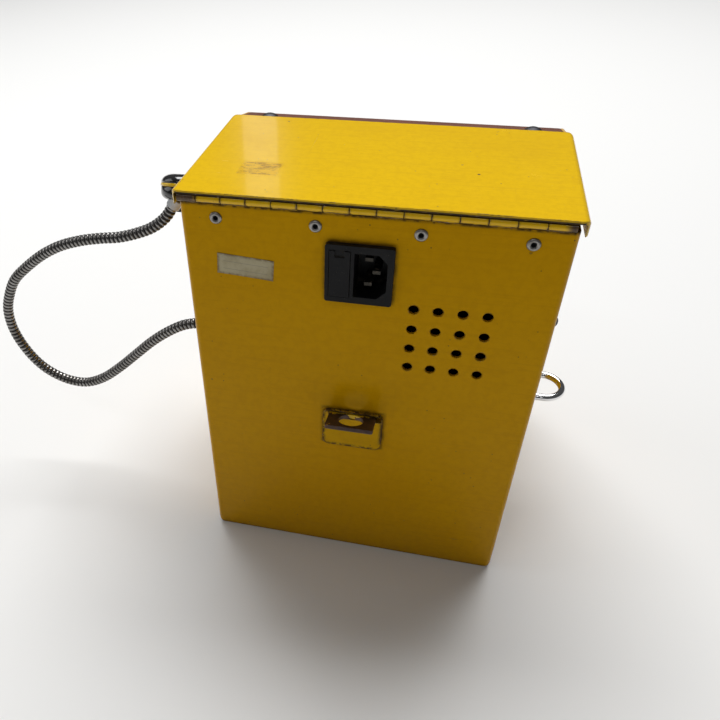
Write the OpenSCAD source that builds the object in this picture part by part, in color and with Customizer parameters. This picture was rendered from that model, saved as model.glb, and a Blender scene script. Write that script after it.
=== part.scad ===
// Counter-top ticket vending machine: a welded sheet-steel case with a piano-hinged lid, a sloping
// user console, a ticket printer, a coin mechanism with a side cash drawer, and a handset that rests
// in a sloping side cradle on an armoured cord.
// +X is the user's right, +Y the back, +Z up. The origin is the centre of the case's underside.

/* [Case] */
// Width of the case over its side panels
case_w = 190.5; // [185:0.5:230]
// Depth of the case from front panel to rear panel
case_d = 190; // [184:1:230]
// Height of the rear panel
case_h = 247; // [245:1:300]
// Thickness of the sheet steel
sheet_t = 1.6; // [1.2:0.1:2]
// Outside bend radius of the rear corners
corner_r = 3; // [2.5:0.5:5]
// Outside bend radius of the bottom side edges
bottom_r = 5; // [3:0.5:8]

/* [Lid] */
// Depth of the lid from its rear lip to its front edge
lid_d = 108.8; // [100:0.1:112]
// Rise of the lid's top above the rear panel
lid_rise = 7; // [6.6:0.1:10]
// How far the lid's rear lip stands behind the rear panel
lid_lip = 3; // [3:0.1:5]
// Height of the lid's folded skirt
skirt_h = 8; // [7.6:0.1:12]
// Gap between the skirt and the side panels
skirt_gap = 1.35; // [0.8:0.05:2]
// Outside bend radius of the lid's edges
lid_edge_r = 3.2; // [2.5:0.1:4]

/* [Hinge] */
// Length of one hinge knuckle
knuckle_pitch = 12.7; // [10:0.1:14]
// Outside diameter of the knuckles
knuckle_d = 4.4; // [3.8:0.1:4.6]
// Diameter of the hinge pin
hinge_pin_d = 2.2; // [1.6:0.1:2.4]
// Thickness of the hinge leaves
leaf_t = 1.2; // [0.8:0.1:1.4]

/* [Console] */
// Depth of the gently sloping header in front of the lid
header_d = 24.5; // [22:0.5:28]
// Slope of the header in degrees
header_slope = 12.9; // [10:0.1:15]
// Height of the vertical lower front
front_h = 100; // [98:1:110]

/* [Handset and cradle] */
// Forward slope of the cradle in degrees
cradle_slope = 24; // [20:0.5:28]
// Width of the handset
handset_w = 30; // [26:0.5:31]
// Length of the handset
handset_len = 165; // [155:1:180]
// Outside diameter of the armoured cord
cord_d = 7; // [6:0.1:7.4]

/* [Tickets and coins] */
// Width of the ticket roll
roll_w = 58; // [50:0.5:59]
// Diameter of the full ticket roll
roll_d = 80; // [60:1:84]
// Depth of the cash drawer across its face
drawer_w = 68; // [60:1:70]
// Height of the cash drawer
drawer_h = 46; // [36:1:46]
// Length of the cash drawer
drawer_len = 110; // [95:1:111]

/* [Clearances] */
// Running clearance round pins and shafts
run_c = 0.05; // [0.03:0.01:0.1]
// Clearance round fixed parts that drop into cut-outs
fit_c = 0.3; // [0.2:0.05:0.4]
// Clearance round buttons and sliding parts
slide_c = 0.5; // [0.4:0.05:0.6]

/* [Hidden] */
$fn = 48;
eps = 0.01;
reach = 600;

// Case
half_w = case_w / 2;
inner_w = half_w - sheet_t;
rear_y = case_d / 2;
front_y = -case_d / 2;
rear_in = rear_y - sheet_t;
front_in = front_y + sheet_t;

flange_screw_x = [-60, 5];

// Lid
lid_top = case_h + lid_rise;
lid_under = lid_top - sheet_t;
lid_rear = rear_y + lid_lip;
lid_front = lid_rear - lid_d;
skirt_in = half_w + skirt_gap;
skirt_out = skirt_in + sheet_t;
lid_corner_r = 5;

// Hinge
hinge_y = rear_y + 0.9;
hinge_z = lid_under - 0.2 - knuckle_d / 2;
knuckle_gap = 0.4;
hinge_start = half_w + 2.35;
knuckle_n = floor((hinge_start + half_w - 2) / knuckle_pitch);
leaf_w = 18;
rivet_x = [-76.2, -25.4, 25.4, 76.2];
rivet_drop = 7.4;
rivet_z = case_h - rivet_drop;

// Console profile, as points of depth and height
header_gap = 1;
header_y = lid_front - header_gap;
header_z = lid_top - 1.4;
header_top = [header_y, header_z];
header_end = [header_y - header_d, header_z - header_d * tan(header_slope)];
face_foot = [front_y, front_h];
face_len = norm(header_end - face_foot);
face_angle = atan2(header_end[1] - face_foot[1], header_end[0] - face_foot[0]);

// Things on the console face: x across, s up the slope from its foot
window_x = 20;
window_s = 112;
window_w = 66;
window_h = 20;
button_x = [-8, 24, 56];
button_s = 70;
button_r = 8;
button_travel = 2.5;
slot_x = -62;
slot_s = 95;
reject_s = 44;
reject_r = 6;
board_drop = 24;

// Handset frame: the origin is the centre of its rear round end, on the parting line
handset_stand = 3.75;
handset_at = [half_w + handset_w / 2 + handset_stand, 35, 227.4];
ferrule_at = handset_at + [6, 10, -8.4];
handset_r = handset_w / 2;
handset_span = handset_len - handset_w;
cup_y = [-26, -112];
cup_r = 12.2;
cup_h = 4.3;
shell_low = -8.6;
shell_high = 6.4;
trim_h = 1.7;
cradle_gap = 0.35;
hook_y = -69;
hook_travel = 3;

// Anchor for a security cable
anchor_x = 2.1;
anchor_z = 121.6;
tongue_w = 27.4;
tongue_t = 2.3;
tongue_len = 20;
tongue_tilt = 17;
eye_r = 7.25;
eye_y = 10;
plate_w = 35.5;
plate_h = 27.4;
plate_t = 2;

// Power inlet
inlet_x = 2.8;
inlet_z = 215.9;
inlet_w = 34.4;
inlet_h = 32.5;
inlet_t = 3;
inlet_body_w = inlet_w - 2.4;
inlet_body_h = inlet_h - 3.6;
socket_x = -3;
fuse_x = 12.6;
fuse_w = 10.4;
fuse_h = 26;

// Ventilation grid
vent_n = 4;
vent_pitch = 12.3;
vent_r = 2.65;
vent_x = -25.8;
vent_z = 197.7;

// Ticket bay
bay_x = 52;
bay_in = roll_w / 2 + 1.25;
bay_wall = 1.5;
roll_y = 15;
roll_z = 75;
spindle_r = 6.3;
core_r = 8;
platen_y = -76;
platen_z = 66;
platen_r = 6;
shaft_r = 2.5;
gear_module = 0.8;
platen_teeth = 32;
pinion_teeth = 16;
gear_w = 4;
gear_distance = gear_module * (platen_teeth + pinion_teeth) / 2 + 0.15;
gear_line = -37;
motor_y = platen_y + gear_distance * cos(gear_line);
motor_z = platen_z + gear_distance * sin(gear_line);
motor_r = 11.5;
gear_x = bay_x + bay_in + bay_wall + 0.7;
ticket_slot_h = 5;
ticket_slot_w = roll_w + 4;
head_t = 5;

// Cash drawer
drawer_y = 2.5;
drawer_z = 64;
drawer_wall = 1.2;
face_t = 2.5;
face_gap = 0.3;
face_margin_y = 5;
face_margin_z = 6;
drawer_face_x = -half_w - face_gap - face_t;
drawer_end_x = -half_w + drawer_len;
runner_gap = 0.3;
pull_r = 2.4;
pull_z = drawer_z + drawer_h - 23;
pull_half = 12.5;
pull_reach = 32;
lock_z = drawer_z + drawer_h - 9;
cam_len = 16;
cam_t = 1.5;
cam_w = 7;

// Coin mechanism
acceptor_x = [-84, -40];
acceptor_y = [-48, 14];
acceptor_z = [122, 206];
chute_x = [-72, -52];
chute_y = [-48, -38];
cup_x = [-84, -40];
cup_back = -36.5;
cup_z = [20, 62];
cup_wall = 1.5;
flap_axis_y = front_in + 2.2;
flap_axis_z = 57.5;
flap_pin_r = 1.5;

// Lid lock
lid_lock_y = -4;
lid_lock_z = 226;
lid_lock_r = 6;

// Gland of the cord on the side panel
gland_y = 45;
gland_z = 137;
gland_len = 8;

// Route of the armoured cord from the handset's ferrule to the gland
cord_points = [
    [120, 45, 219], [126, 45, 211], [135, 45, 204], [146, 45, 199], [159, 45, 195], [172, 45, 193],
    [186, 45, 190], [201, 45, 185], [216, 45, 177], [231, 45, 166], [243, 45, 155], [251, 45, 142],
    [256, 45, 129], [257, 45, 115], [254, 45, 101], [247, 45, 87], [237, 45, 77], [223, 45, 71],
    [208, 45, 71], [193, 45, 78], [178, 45, 90], [163, 45, 104], [149, 45, 117], [136, 45, 127],
    [124, 45, 134], [113, 45, gland_z], [half_w + gland_len, 45, gland_z]
];
cord_sides = 10;

// ---------- shared helpers ----------

function cross2(a, b) = a[0] * b[1] - a[1] * b[0];
function unit(v) = v / norm(v);
function left_of(v) = [-v[1], v[0]];
// The corner b of the path a, b, c, moved to the left by t
function inset_corner(a, b, c, t) =
    let (u = unit(b - a), v = unit(c - b), p = b + left_of(u) * t, q = b + left_of(v) * t)
    p + u * cross2(q - p, v) / cross2(u, v);

// A box from its lowest to its highest corner
module block(low, high) {
    translate(low) cube(high - low);
}

// A rectangle with round corners, centred
module rounded_rect(w, h, r) {
    square([w - 2 * r, h], center = true);
    square([w, h - 2 * r], center = true);
    for (x = [-1, 1], y = [-1, 1]) translate([x * (w / 2 - r), y * (h / 2 - r)]) circle(r);
}

// Two half circles joined by straight sides, from y = 0 down to y = -span
module stadium(r, span) {
    circle(r);
    translate([0, -span]) circle(r);
    translate([-r, -span]) square([2 * r, span]);
}

// Extrudes an outline of depth and height along X
module along_x(x0, x1) {
    translate([x0, 0, 0]) rotate([90, 0, 90]) linear_extrude(x1 - x0) children();
}

// Extrudes an outline of width and height along Y
module along_y(y0, y1) {
    translate([0, y1, 0]) rotate([90, 0, 0]) linear_extrude(y1 - y0) children();
}

// A cylinder along X
module rod_x(x0, x1, y, z, r) {
    translate([x0, y, z]) rotate([0, 90, 0]) cylinder(h = x1 - x0, r = r);
}

// A cylinder along Y
module rod_y(y0, y1, x, z, r) {
    translate([x, y1, z]) rotate([90, 0, 0]) cylinder(h = y1 - y0, r = r);
}

// Places children on the sloping console face: Y up the slope, Z out of the face
module on_face(x, s) {
    translate([x, face_foot[0], face_foot[1]]) rotate([face_angle, 0, 0])
        translate([0, s, 0]) children();
}

// Places children on the header, x across and d down from its upper edge
module on_header(x, d) {
    translate([x, header_top[0], header_top[1]]) rotate([header_slope, 0, 0])
        translate([0, -d, 0]) children();
}

// Places children in the handset's frame
module in_handset() {
    translate(handset_at) rotate([cradle_slope, 0, 0]) children();
}

// A dome-headed screw standing on z = 0
module dome_screw(head_r, head_h, shank_r, shank_len) {
    rotate_extrude() intersection() {
        translate([0, head_h - (head_r * head_r + head_h * head_h) / (2 * head_h)])
            circle((head_r * head_r + head_h * head_h) / (2 * head_h), $fn = 96);
        square([head_r, head_h]);
    }
    translate([0, 0, -shank_len]) cylinder(h = shank_len, r = shank_r);
}

// A spur gear along Z with flat-flanked teeth; one tooth points along +X
module spur(teeth, h) {
    pitch_r = gear_module * teeth / 2;
    root_r = pitch_r - 1.2 * gear_module;
    tip_r = pitch_r + 0.85 * gear_module;
    step = 360 / teeth;
    linear_extrude(h) {
        circle(root_r);
        for (i = [0 : teeth - 1]) rotate(i * step) polygon([
            for (p = [[root_r - 0.3, -0.33], [pitch_r, -0.21], [tip_r, -0.09],
                      [tip_r, 0.09], [pitch_r, 0.21], [root_r - 0.3, 0.33]])
                p[0] * [cos(p[1] * step), sin(p[1] * step)]
        ]);
    }
}

// ---------- case ----------

module plan_outline(w, y_rear, r) {
    translate([-w, -reach]) square([2 * w, reach + y_rear - r]);
    translate([-w + r, -reach]) square([2 * w - 2 * r, reach + y_rear]);
    for (x = [-1, 1]) translate([x * (w - r), y_rear - r]) circle(r);
}

module front_outline(w, z_low, r) {
    translate([-w, z_low + r]) square([2 * w, reach]);
    translate([-w + r, z_low]) square([2 * w - 2 * r, reach]);
    for (x = [-1, 1]) translate([x * (w - r), z_low + r]) circle(r);
}

module side_outline() {
    polygon([[front_y, 0], [rear_y, 0], [rear_y, case_h], [header_y, case_h],
             header_top, header_end, face_foot]);
}

module case_shell() {
    color([0.85, 0.68, 0.05]) difference() {
        intersection() {
            along_x(-half_w, half_w) side_outline();
            linear_extrude(reach) plan_outline(half_w, rear_y, corner_r);
            along_y(-reach, reach) front_outline(half_w, 0, bottom_r);
        }
        intersection() {
            linear_extrude(reach) plan_outline(inner_w, rear_in, corner_r - sheet_t);
            along_y(-reach, reach) front_outline(inner_w, sheet_t, bottom_r - sheet_t);
        }
        for (i = [0 : vent_n - 1], j = [0 : vent_n - 1])
            rod_y(rear_in - 1, rear_y + 1, vent_x - i * vent_pitch, vent_z - j * vent_pitch, vent_r);
        along_y(rear_in - 1, rear_y + 1) translate([inlet_x, inlet_z])
            square([inlet_body_w + 2 * fit_c, inlet_body_h + 2 * fit_c], center = true);
        anchor_slot();
        for (x = rivet_x) rod_y(rear_in - 1, rear_y + 1, x, rivet_z, 1.6);
        block([-half_w - 1, drawer_y - drawer_w / 2 - slide_c, drawer_z - slide_c],
              [-inner_w + 1, drawer_y + drawer_w / 2 + slide_c, drawer_z + drawer_h + slide_c]);
        rod_x(-half_w - 1, -inner_w + 1, lid_lock_y, lid_lock_z, lid_lock_r + 2);
        rod_x(inner_w - 1, half_w + 1, gland_y, gland_z, 4.5);
        for (p = cradle_screw_points()) rod_x(inner_w - 1, half_w + 1, p[0], p[1], 2);
        rod_x(-half_w - 1, -inner_w + 1, rear_y - 12, case_h - 55, 2);
        for (x = flange_screw_x) translate([x, front_in + 6, -1]) cylinder(h = 5, r = 2);
    }
}

module front_panel() {
    flange = 12;
    color([0.85, 0.68, 0.05]) difference() {
        union() {
            intersection() {
                block([-inner_w + fit_c, front_y, sheet_t], [inner_w - fit_c, front_in, front_h - 1]);
                along_y(-reach, reach) front_outline(inner_w - fit_c, sheet_t, bottom_r - sheet_t);
            }
            block([-inner_w + bottom_r, front_in - eps, sheet_t],
                  [inner_w - bottom_r, front_in + flange, 2 * sheet_t]);
            block([-inner_w + fit_c, front_in - eps, front_h - 1 - sheet_t],
                  [inner_w - fit_c, front_in + 7, front_h - 1]);
        }
        block([bay_x - ticket_slot_w / 2 - 4, front_y - 1, platen_z + platen_r - 7],
              [bay_x + ticket_slot_w / 2 + 4, front_in + 1, platen_z + platen_r + 7]);
        block([cup_x[0] + 2, front_y - 1, cup_z[0] + 2], [cup_x[1] - 2, front_in + 1, cup_z[1] - 4]);
        for (x = flange_screw_x) translate([x, front_in + flange / 2, 0]) cylinder(h = 10, r = 2);
    }
}

module console_fascia() {
    inner_end = inset_corner(header_top, header_end, face_foot, sheet_t);
    inner_top = header_top + left_of(unit(header_end - header_top)) * sheet_t;
    inner_foot = face_foot + left_of(unit(face_foot - header_end)) * sheet_t;
    color([0.42, 0.22, 0.16]) difference() {
        along_x(-inner_w + fit_c, inner_w - fit_c) polygon([
            header_top, header_end, face_foot, inner_foot, inner_end,
            [header_y - sheet_t, inner_top[1] - 0.2], [header_y - sheet_t, case_h - 12],
            [header_y, case_h - 12]
        ]);
        on_face(window_x, window_s) translate([0, 0, -5])
            linear_extrude(10) square([window_w, window_h], center = true);
        for (x = button_x) on_face(x, button_s) translate([0, 0, -5])
            cylinder(h = 10, r = button_r + 2);
        on_face(slot_x, slot_s) translate([0, 0, -5])
            linear_extrude(10) square([8 + 2 * fit_c, 34 + 2 * fit_c], center = true);
        on_face(slot_x, reject_s) translate([0, 0, -5]) cylinder(h = 10, r = reject_r + 2);
        for (x = fascia_screw_x()) {
            on_header(x, 12) translate([0, 0, -5]) cylinder(h = 10, r = 2.1);
            on_face(x, 10) translate([0, 0, -5]) cylinder(h = 10, r = 2.1);
        }
    }
}

function fascia_screw_x() = [-half_w + 17.7, half_w - 17.7];

module fascia_screws() {
    color([0.12, 0.12, 0.13]) for (x = fascia_screw_x()) {
        on_header(x, 12) dome_screw(5, 1.8, 2, 7);
        on_face(x, 10) dome_screw(5, 1.8, 2, 7);
    }
}

// Screw places of the cradle on the side panel, as depth and height
function cradle_screw_points() = [for (y = [-20, -95]) [
    handset_at[1] + y * cos(cradle_slope) + 15 * sin(cradle_slope),
    handset_at[2] + y * sin(cradle_slope) - 15 * cos(cradle_slope)
]];

module case_screws() {
    color([0.14, 0.14, 0.15]) {
        // dark pan-head screw near the top rear of the left side
        translate([-half_w, rear_y - 12, case_h - 55]) rotate([0, -90, 0]) dome_screw(3.6, 2.6, 1.9, 8);
        // screws of the front panel's bottom flange
        for (x = flange_screw_x) translate([x, front_in + 6, 2 * sheet_t])
            dome_screw(3.4, 2, 1.9, 2 * sheet_t - 0.3);
        // screws that hold the cradle from inside the case
        for (p = cradle_screw_points()) translate([inner_w, p[0], p[1]])
            rotate([0, -90, 0]) dome_screw(3.4, 2, 1.9, sheet_t + 5);
    }
}

// ---------- lid and hinge ----------

module lid_cover() {
    color([0.9, 0.72, 0.05]) difference() {
        intersection() {
            along_y(lid_front, lid_rear) translate([0, lid_top]) mirror([0, 1])
                front_outline(skirt_out, 0, lid_edge_r);
            translate([0, 0, lid_top - skirt_h]) linear_extrude(skirt_h + 1)
                translate([0, (lid_front + lid_rear) / 2])
                    rounded_rect(2 * skirt_out, lid_d, lid_corner_r);
        }
        intersection() {
            along_y(lid_front + sheet_t, lid_rear + 10) translate([0, lid_under]) mirror([0, 1])
                front_outline(skirt_in, 0, lid_edge_r - sheet_t);
            translate([0, 0, 0]) linear_extrude(reach)
                translate([0, (lid_front + lid_rear) / 2 + reach / 2])
                    rounded_rect(2 * skirt_in, lid_d - 2 * sheet_t + reach, lid_corner_r - sheet_t);
        }
        // the front skirt stops just above the side panels
        block([-skirt_in, lid_front - 1, lid_top - skirt_h - 1],
              [skirt_in, lid_front + lid_corner_r, case_h + slide_c]);
    }
}

function knuckle_high(i) = min(hinge_start - i * knuckle_pitch, half_w - 0.2);
function knuckle_low(i) = hinge_start - (i + 1) * knuckle_pitch;

module knuckles(first) {
    for (i = [first : 2 : knuckle_n - 1])
        rod_x(knuckle_low(i) + knuckle_gap / 2, knuckle_high(i) - knuckle_gap / 2,
              hinge_y, hinge_z, knuckle_d / 2);
}

module pin_bore() {
    rod_x(-reach, reach, hinge_y, hinge_z, hinge_pin_d / 2 + run_c);
}

module case_hinge_leaf() {
    leaf_y = rear_in - leaf_t;
    low_x = knuckle_low(knuckle_n - 1);
    color([0.85, 0.68, 0.1]) difference() {
        union() {
            knuckles(0);
            block([max(low_x, corner_r - inner_w), leaf_y, case_h - leaf_w + 3],
                  [inner_w - corner_r, rear_in, case_h]);
            for (i = [0 : 2 : knuckle_n - 1]) {
                tab_low = max(knuckle_low(i) + knuckle_gap / 2, corner_r - inner_w);
                tab_high = min(knuckle_high(i) - knuckle_gap / 2, inner_w - corner_r);
                tab_z = hinge_z - knuckle_d / 2 + leaf_t;
                block([tab_low, leaf_y, case_h - 1], [tab_high, rear_in, tab_z]);
                block([tab_low, rear_in - eps, case_h + 0.2], [tab_high, hinge_y - 0.2, tab_z]);
            }
        }
        pin_bore();
        for (x = rivet_x) rod_y(leaf_y - 1, rear_in + 1, x, rivet_z, 1.6);
    }
}

module lid_hinge_leaf() {
    low_x = knuckle_low(knuckle_n - 1);
    tab_y = hinge_y - knuckle_d / 2 - 1;
    color([0.85, 0.68, 0.1]) difference() {
        union() {
            knuckles(1);
            block([low_x, tab_y - leaf_w, lid_under - leaf_t], [inner_w - 1, tab_y, lid_under]);
            for (i = [1 : 2 : knuckle_n - 1])
                block([knuckle_low(i) + knuckle_gap / 2, tab_y - eps, lid_under - leaf_t],
                      [knuckle_high(i) - knuckle_gap / 2, hinge_y, lid_under - 0.25]);
        }
        pin_bore();
    }
}

module hinge_pin() {
    color([0.45, 0.4, 0.36]) rod_x(knuckle_low(knuckle_n - 1) + 0.3, half_w - 0.8,
                                   hinge_y, hinge_z, hinge_pin_d / 2);
}

module hinge_rivets() {
    color([0.5, 0.5, 0.5]) for (x = rivet_x) difference() {
        union() {
            translate([x, rear_y, rivet_z]) rotate([-90, 0, 0]) dome_screw(3.25, 1.1, 1.55, 0.1);
            rod_y(rear_in - leaf_t - 1, rear_y, x, rivet_z, 1.55);
            rod_y(rear_in - leaf_t - 1.8, rear_in - leaf_t, x, rivet_z, 2.6);
        }
        rod_y(rear_y - 1, rear_y + 3, x, rivet_z, 0.95);
    }
}

// Bracket under the lid whose foot the lock's cam holds down
module lid_catch() {
    color([0.7, 0.7, 0.68]) {
        leg_x = -inner_w + 12;
        block([leg_x, 6, lid_lock_z - 7], [leg_x + sheet_t, 20, lid_under]);
        block([-inner_w + 2, 7, lid_lock_z - 7], [leg_x + eps, 20, lid_lock_z - 7 + sheet_t]);
        block([leg_x + sheet_t - eps, 6, lid_under - sheet_t], [leg_x + 12, 20, lid_under]);
    }
}

module lid_lock_housing() {
    color([0.6, 0.6, 0.62]) difference() {
        union() {
            rod_x(-half_w - 2, -half_w, lid_lock_y, lid_lock_z, lid_lock_r + 4);
            rod_x(-half_w - eps, -inner_w + 3, lid_lock_y, lid_lock_z, lid_lock_r + 1.9);
        }
        rod_x(-half_w - 3, -inner_w + 4, lid_lock_y, lid_lock_z, lid_lock_r + run_c);
    }
}

// Barrel with a key slot, and its cam, drawn unlocked
module lock_barrel(x_face, x_cam, y, z, r, length, turn) {
    difference() {
        union() {
            rod_x(x_face, x_cam + cam_t, y, z, r);
            translate([x_cam, y, z]) rotate([turn, 0, 0])
                block([0, 0, -cam_w / 2], [cam_t, length, cam_w / 2]);
        }
        block([x_face - 1, y - 0.6, z - 3], [x_face + 2.5, y + 0.6, z + 3]);
    }
}

module lid_lock_cylinder() {
    color([0.75, 0.75, 0.76]) lock_barrel(-half_w - 2.6, -inner_w + 3.2, lid_lock_y, lid_lock_z,
                                          lid_lock_r, cam_len, 90);
}

// ---------- rear fittings ----------

module anchor_slot() {
    block([anchor_x - tongue_w / 2 - 3, rear_in - 1, anchor_z - tongue_t - 1],
          [anchor_x + tongue_w / 2 + 0.6, rear_y + 3, anchor_z + 1]);
}

module anchor_plate() {
    color([0.85, 0.68, 0.05]) difference() {
        along_y(rear_y, rear_y + plate_t) translate([anchor_x, anchor_z - 11.9])
            rounded_rect(plate_w, plate_h, 4);
        anchor_slot();
    }
}

module anchor_tongue() {
    foot_h = 16;
    color([0.3, 0.22, 0.2]) difference() {
        union() {
            block([anchor_x - tongue_w / 2 - 4, rear_in - tongue_t, anchor_z - tongue_t - foot_h],
                  [anchor_x + tongue_w / 2 + 4, rear_in, anchor_z - tongue_t / 2]);
            translate([anchor_x, rear_y, anchor_z]) rotate([tongue_tilt, 0, 0])
                translate([0, 0, -tongue_t]) linear_extrude(tongue_t) tongue_outline();
        }
    }
}

module tongue_outline() {
    difference() {
        union() {
            translate([-tongue_w / 2, -sheet_t - tongue_t + 0.5])
                square([tongue_w, tongue_len + sheet_t + tongue_t - 2]);
            translate([-tongue_w / 2 + 1.5, 0]) square([tongue_w - 3, tongue_len]);
            for (x = [-1, 1]) translate([x * (tongue_w / 2 - 1.5), tongue_len - 1.5]) circle(1.5);
        }
        translate([0, eye_y]) circle(eye_r);
    }
}

module asset_label() {
    color([0.55, 0.47, 0.32]) along_y(rear_y, rear_y + 0.25) translate([62.4, 213.2])
        rotate(4) rounded_rect(30.5, 12, 1.6);
}

// Outline of the appliance socket: chamfered on the earth side
module socket_outline(w, h, chamfer) {
    polygon([[-w / 2 + chamfer, -h / 2], [w / 2, -h / 2], [w / 2, h / 2],
             [-w / 2 + chamfer, h / 2], [-w / 2, h / 2 - chamfer], [-w / 2, -h / 2 + chamfer]]);
}

module power_inlet() {
    body_back = rear_y - 22;
    color([0.05, 0.05, 0.06]) difference() {
        union() {
            along_y(rear_y, rear_y + inlet_t) translate([inlet_x, inlet_z])
                rounded_rect(inlet_w, inlet_h, 1.3);
            along_y(body_back, rear_y) translate([inlet_x, inlet_z])
                square([inlet_body_w, inlet_body_h], center = true);
        }
        along_y(rear_y - 14, rear_y + inlet_t + 1) translate([socket_x, inlet_z])
            socket_outline(16.6, 24.6, 4.5);
        along_y(rear_y - 19, rear_y + inlet_t + 1) translate([fuse_x, inlet_z])
            square([fuse_w + 2 * fit_c, fuse_h + 2 * fit_c], center = true);
    }
}

module inlet_pins() {
    color([0.75, 0.72, 0.6]) for (p = [[1.5, 7], [-2.5, 0], [1.5, -7]])
        block([socket_x + p[0] - 2, rear_y - 14, inlet_z + p[1] - 1],
              [socket_x + p[0] + 2, rear_y - 2, inlet_z + p[1] + 1]);
}

module fuse_drawer() {
    color([0.08, 0.08, 0.09]) difference() {
        along_y(rear_y - 18.7, rear_y + inlet_t + 0.3) translate([fuse_x, inlet_z])
            square([fuse_w, fuse_h], center = true);
        along_y(rear_y - 12, rear_y - 1) translate([fuse_x, inlet_z])
            square([fuse_w + 2 * fit_c + 1, fuse_h - 5], center = true);
        // finger notch for a screwdriver blade
        block([fuse_x - 2.5, rear_y + inlet_t - 0.6, inlet_z + fuse_h / 2 - 3.5],
              [fuse_x + 2.5, rear_y + inlet_t + 2, inlet_z + fuse_h / 2 + 1]);
    }
}

// ---------- electrics ----------

module power_supply() {
    low = [-88, 45, sheet_t];
    high = [-12, 91, 64];
    color([0.62, 0.63, 0.64]) difference() {
        block(low, high);
        for (i = [0 : 5], j = [0 : 2])
            translate([low[0] + 13 + i * 10, low[1] + 12 + j * 11, high[2] - 2])
                cylinder(h = 4, r = 2.5);
        block([low[0] + 4, low[1] - 1, high[2] - 18], [low[0] + 46, low[1] + 3, high[2] - 6]);
    }
}

module control_board() {
    board_x = [-28, 88];
    board_s = [36, 140];
    color([0.1, 0.35, 0.18]) {
        on_face(0, 0) block([board_x[0], board_s[0], -board_drop - 1.6],
                            [board_x[1], board_s[1], -board_drop]);
        for (x = [board_x[0] + 6, board_x[1] - 6], s = [board_s[0] + 6, board_s[1] - 6])
            on_face(x, s) translate([0, 0, -board_drop])
                cylinder(h = board_drop - sheet_t, r = 3);
        on_face(10, 92) block([0, 0, -board_drop - 4.2], [24, 24, -board_drop - 1.6]);
        on_face(50, 60) block([0, 0, -board_drop - 12], [26, 12, -board_drop - 1.6]);
        on_face(-16, 60) block([0, 0, -board_drop - 8], [10, 30, -board_drop - 1.6]);
    }
}

module display_module() {
    color([0.12, 0.14, 0.12]) on_face(window_x, window_s) {
        translate([0, 0, -sheet_t - 6]) linear_extrude(6)
            square([window_w + 12, window_h + 10], center = true);
        for (x = [-1, 1]) translate([x * (window_w / 2 - 4), 0, -board_drop])
            cylinder(h = board_drop - sheet_t - 6, r = 2);
    }
}

module display_window() {
    color([0.2, 0.25, 0.22]) on_face(window_x, window_s) translate([0, 0, -sheet_t])
        linear_extrude(sheet_t + 0.6)
            square([window_w - 2 * fit_c, window_h - 2 * fit_c], center = true);
}

module push_button(r, travel) {
    cylinder(h = 9, r = r);
    translate([0, 0, 9]) cylinder(h = 1.5, r1 = r, r2 = r - 1.5);
    translate([0, 0, -4]) cylinder(h = 4.1, r = 2.5);
}

module button_at(i) {
    color([0.2, 0.45, 0.25]) on_face(button_x[i], button_s) translate([0, 0, -6])
        push_button(button_r, button_travel);
}

module select_button_1() button_at(0);
module select_button_2() button_at(1);
module select_button_3() button_at(2);

// Threaded collar with a flange, which a button slides in
module button_collar(r) {
    difference() {
        union() {
            cylinder(h = 2, r = r + 4);
            translate([0, 0, -14]) cylinder(h = 14.1, r = r + 2 - fit_c);
            translate([0, 0, -sheet_t - 3]) cylinder(h = 3, r = r + 4, $fn = 6);
        }
        translate([0, 0, -12.8]) cylinder(h = 20, r = r + slide_c / 2);
        translate([0, 0, -15]) cylinder(h = 4, r = 2.5 + slide_c);
    }
}

module button_bezels() {
    color([0.07, 0.07, 0.08]) {
        for (x = button_x) on_face(x, button_s) button_collar(button_r);
        on_face(slot_x, reject_s) button_collar(reject_r);
    }
}

// ---------- coins ----------

module coin_slot_plate() {
    color([0.7, 0.7, 0.7]) difference() {
        on_face(slot_x, slot_s) {
            linear_extrude(2.5) rounded_rect(30, 54, 3);
            translate([0, 0, -22]) linear_extrude(22.1) square([8, 34], center = true);
        }
        on_face(slot_x, slot_s) translate([0, 0, -30])
            linear_extrude(40) square([3.2, 29], center = true);
        block([slot_x - 20, acceptor_y[0], 100], [slot_x + 20, 0, case_h]);
    }
}

module coin_return_button() {
    color([0.55, 0.1, 0.08]) on_face(slot_x, reject_s) translate([0, 0, -6])
        push_button(reject_r, button_travel);
}

module coin_acceptor() {
    color([0.12, 0.12, 0.14]) difference() {
        union() {
            block([acceptor_x[0], acceptor_y[0], acceptor_z[0]],
                  [acceptor_x[1], acceptor_y[1], acceptor_z[1]]);
            // bracket to the left side panel
            block([-inner_w, acceptor_y[1] - 14, acceptor_z[0] + 24],
                  [acceptor_x[0] + 5, acceptor_y[1] - 2, acceptor_z[0] + 26]);
        }
        // coin path down to the drawer and to the reject chute
        block([slot_x - 1.9, acceptor_y[0] - 1, acceptor_z[0] - 1],
              [slot_x + 1.9, acceptor_y[1] - 8, acceptor_z[1] - 6]);
        for (z = [acceptor_z[0] + 16 : 14 : acceptor_z[1] - 16])
            block([acceptor_x[0] - 1, acceptor_y[0] + 8, z], [acceptor_x[0] + 2, acceptor_y[1] - 8, z + 6]);
    }
}

module reject_chute() {
    wall = 1.2;
    color([0.6, 0.61, 0.62]) difference() {
        block([chute_x[0], chute_y[0], cup_z[1]], [chute_x[1], chute_y[1], acceptor_z[0]]);
        block([chute_x[0] + wall, chute_y[0] + wall, 0],
              [chute_x[1] - wall, chute_y[1] - wall, acceptor_z[0] + 1]);
    }
}

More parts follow.
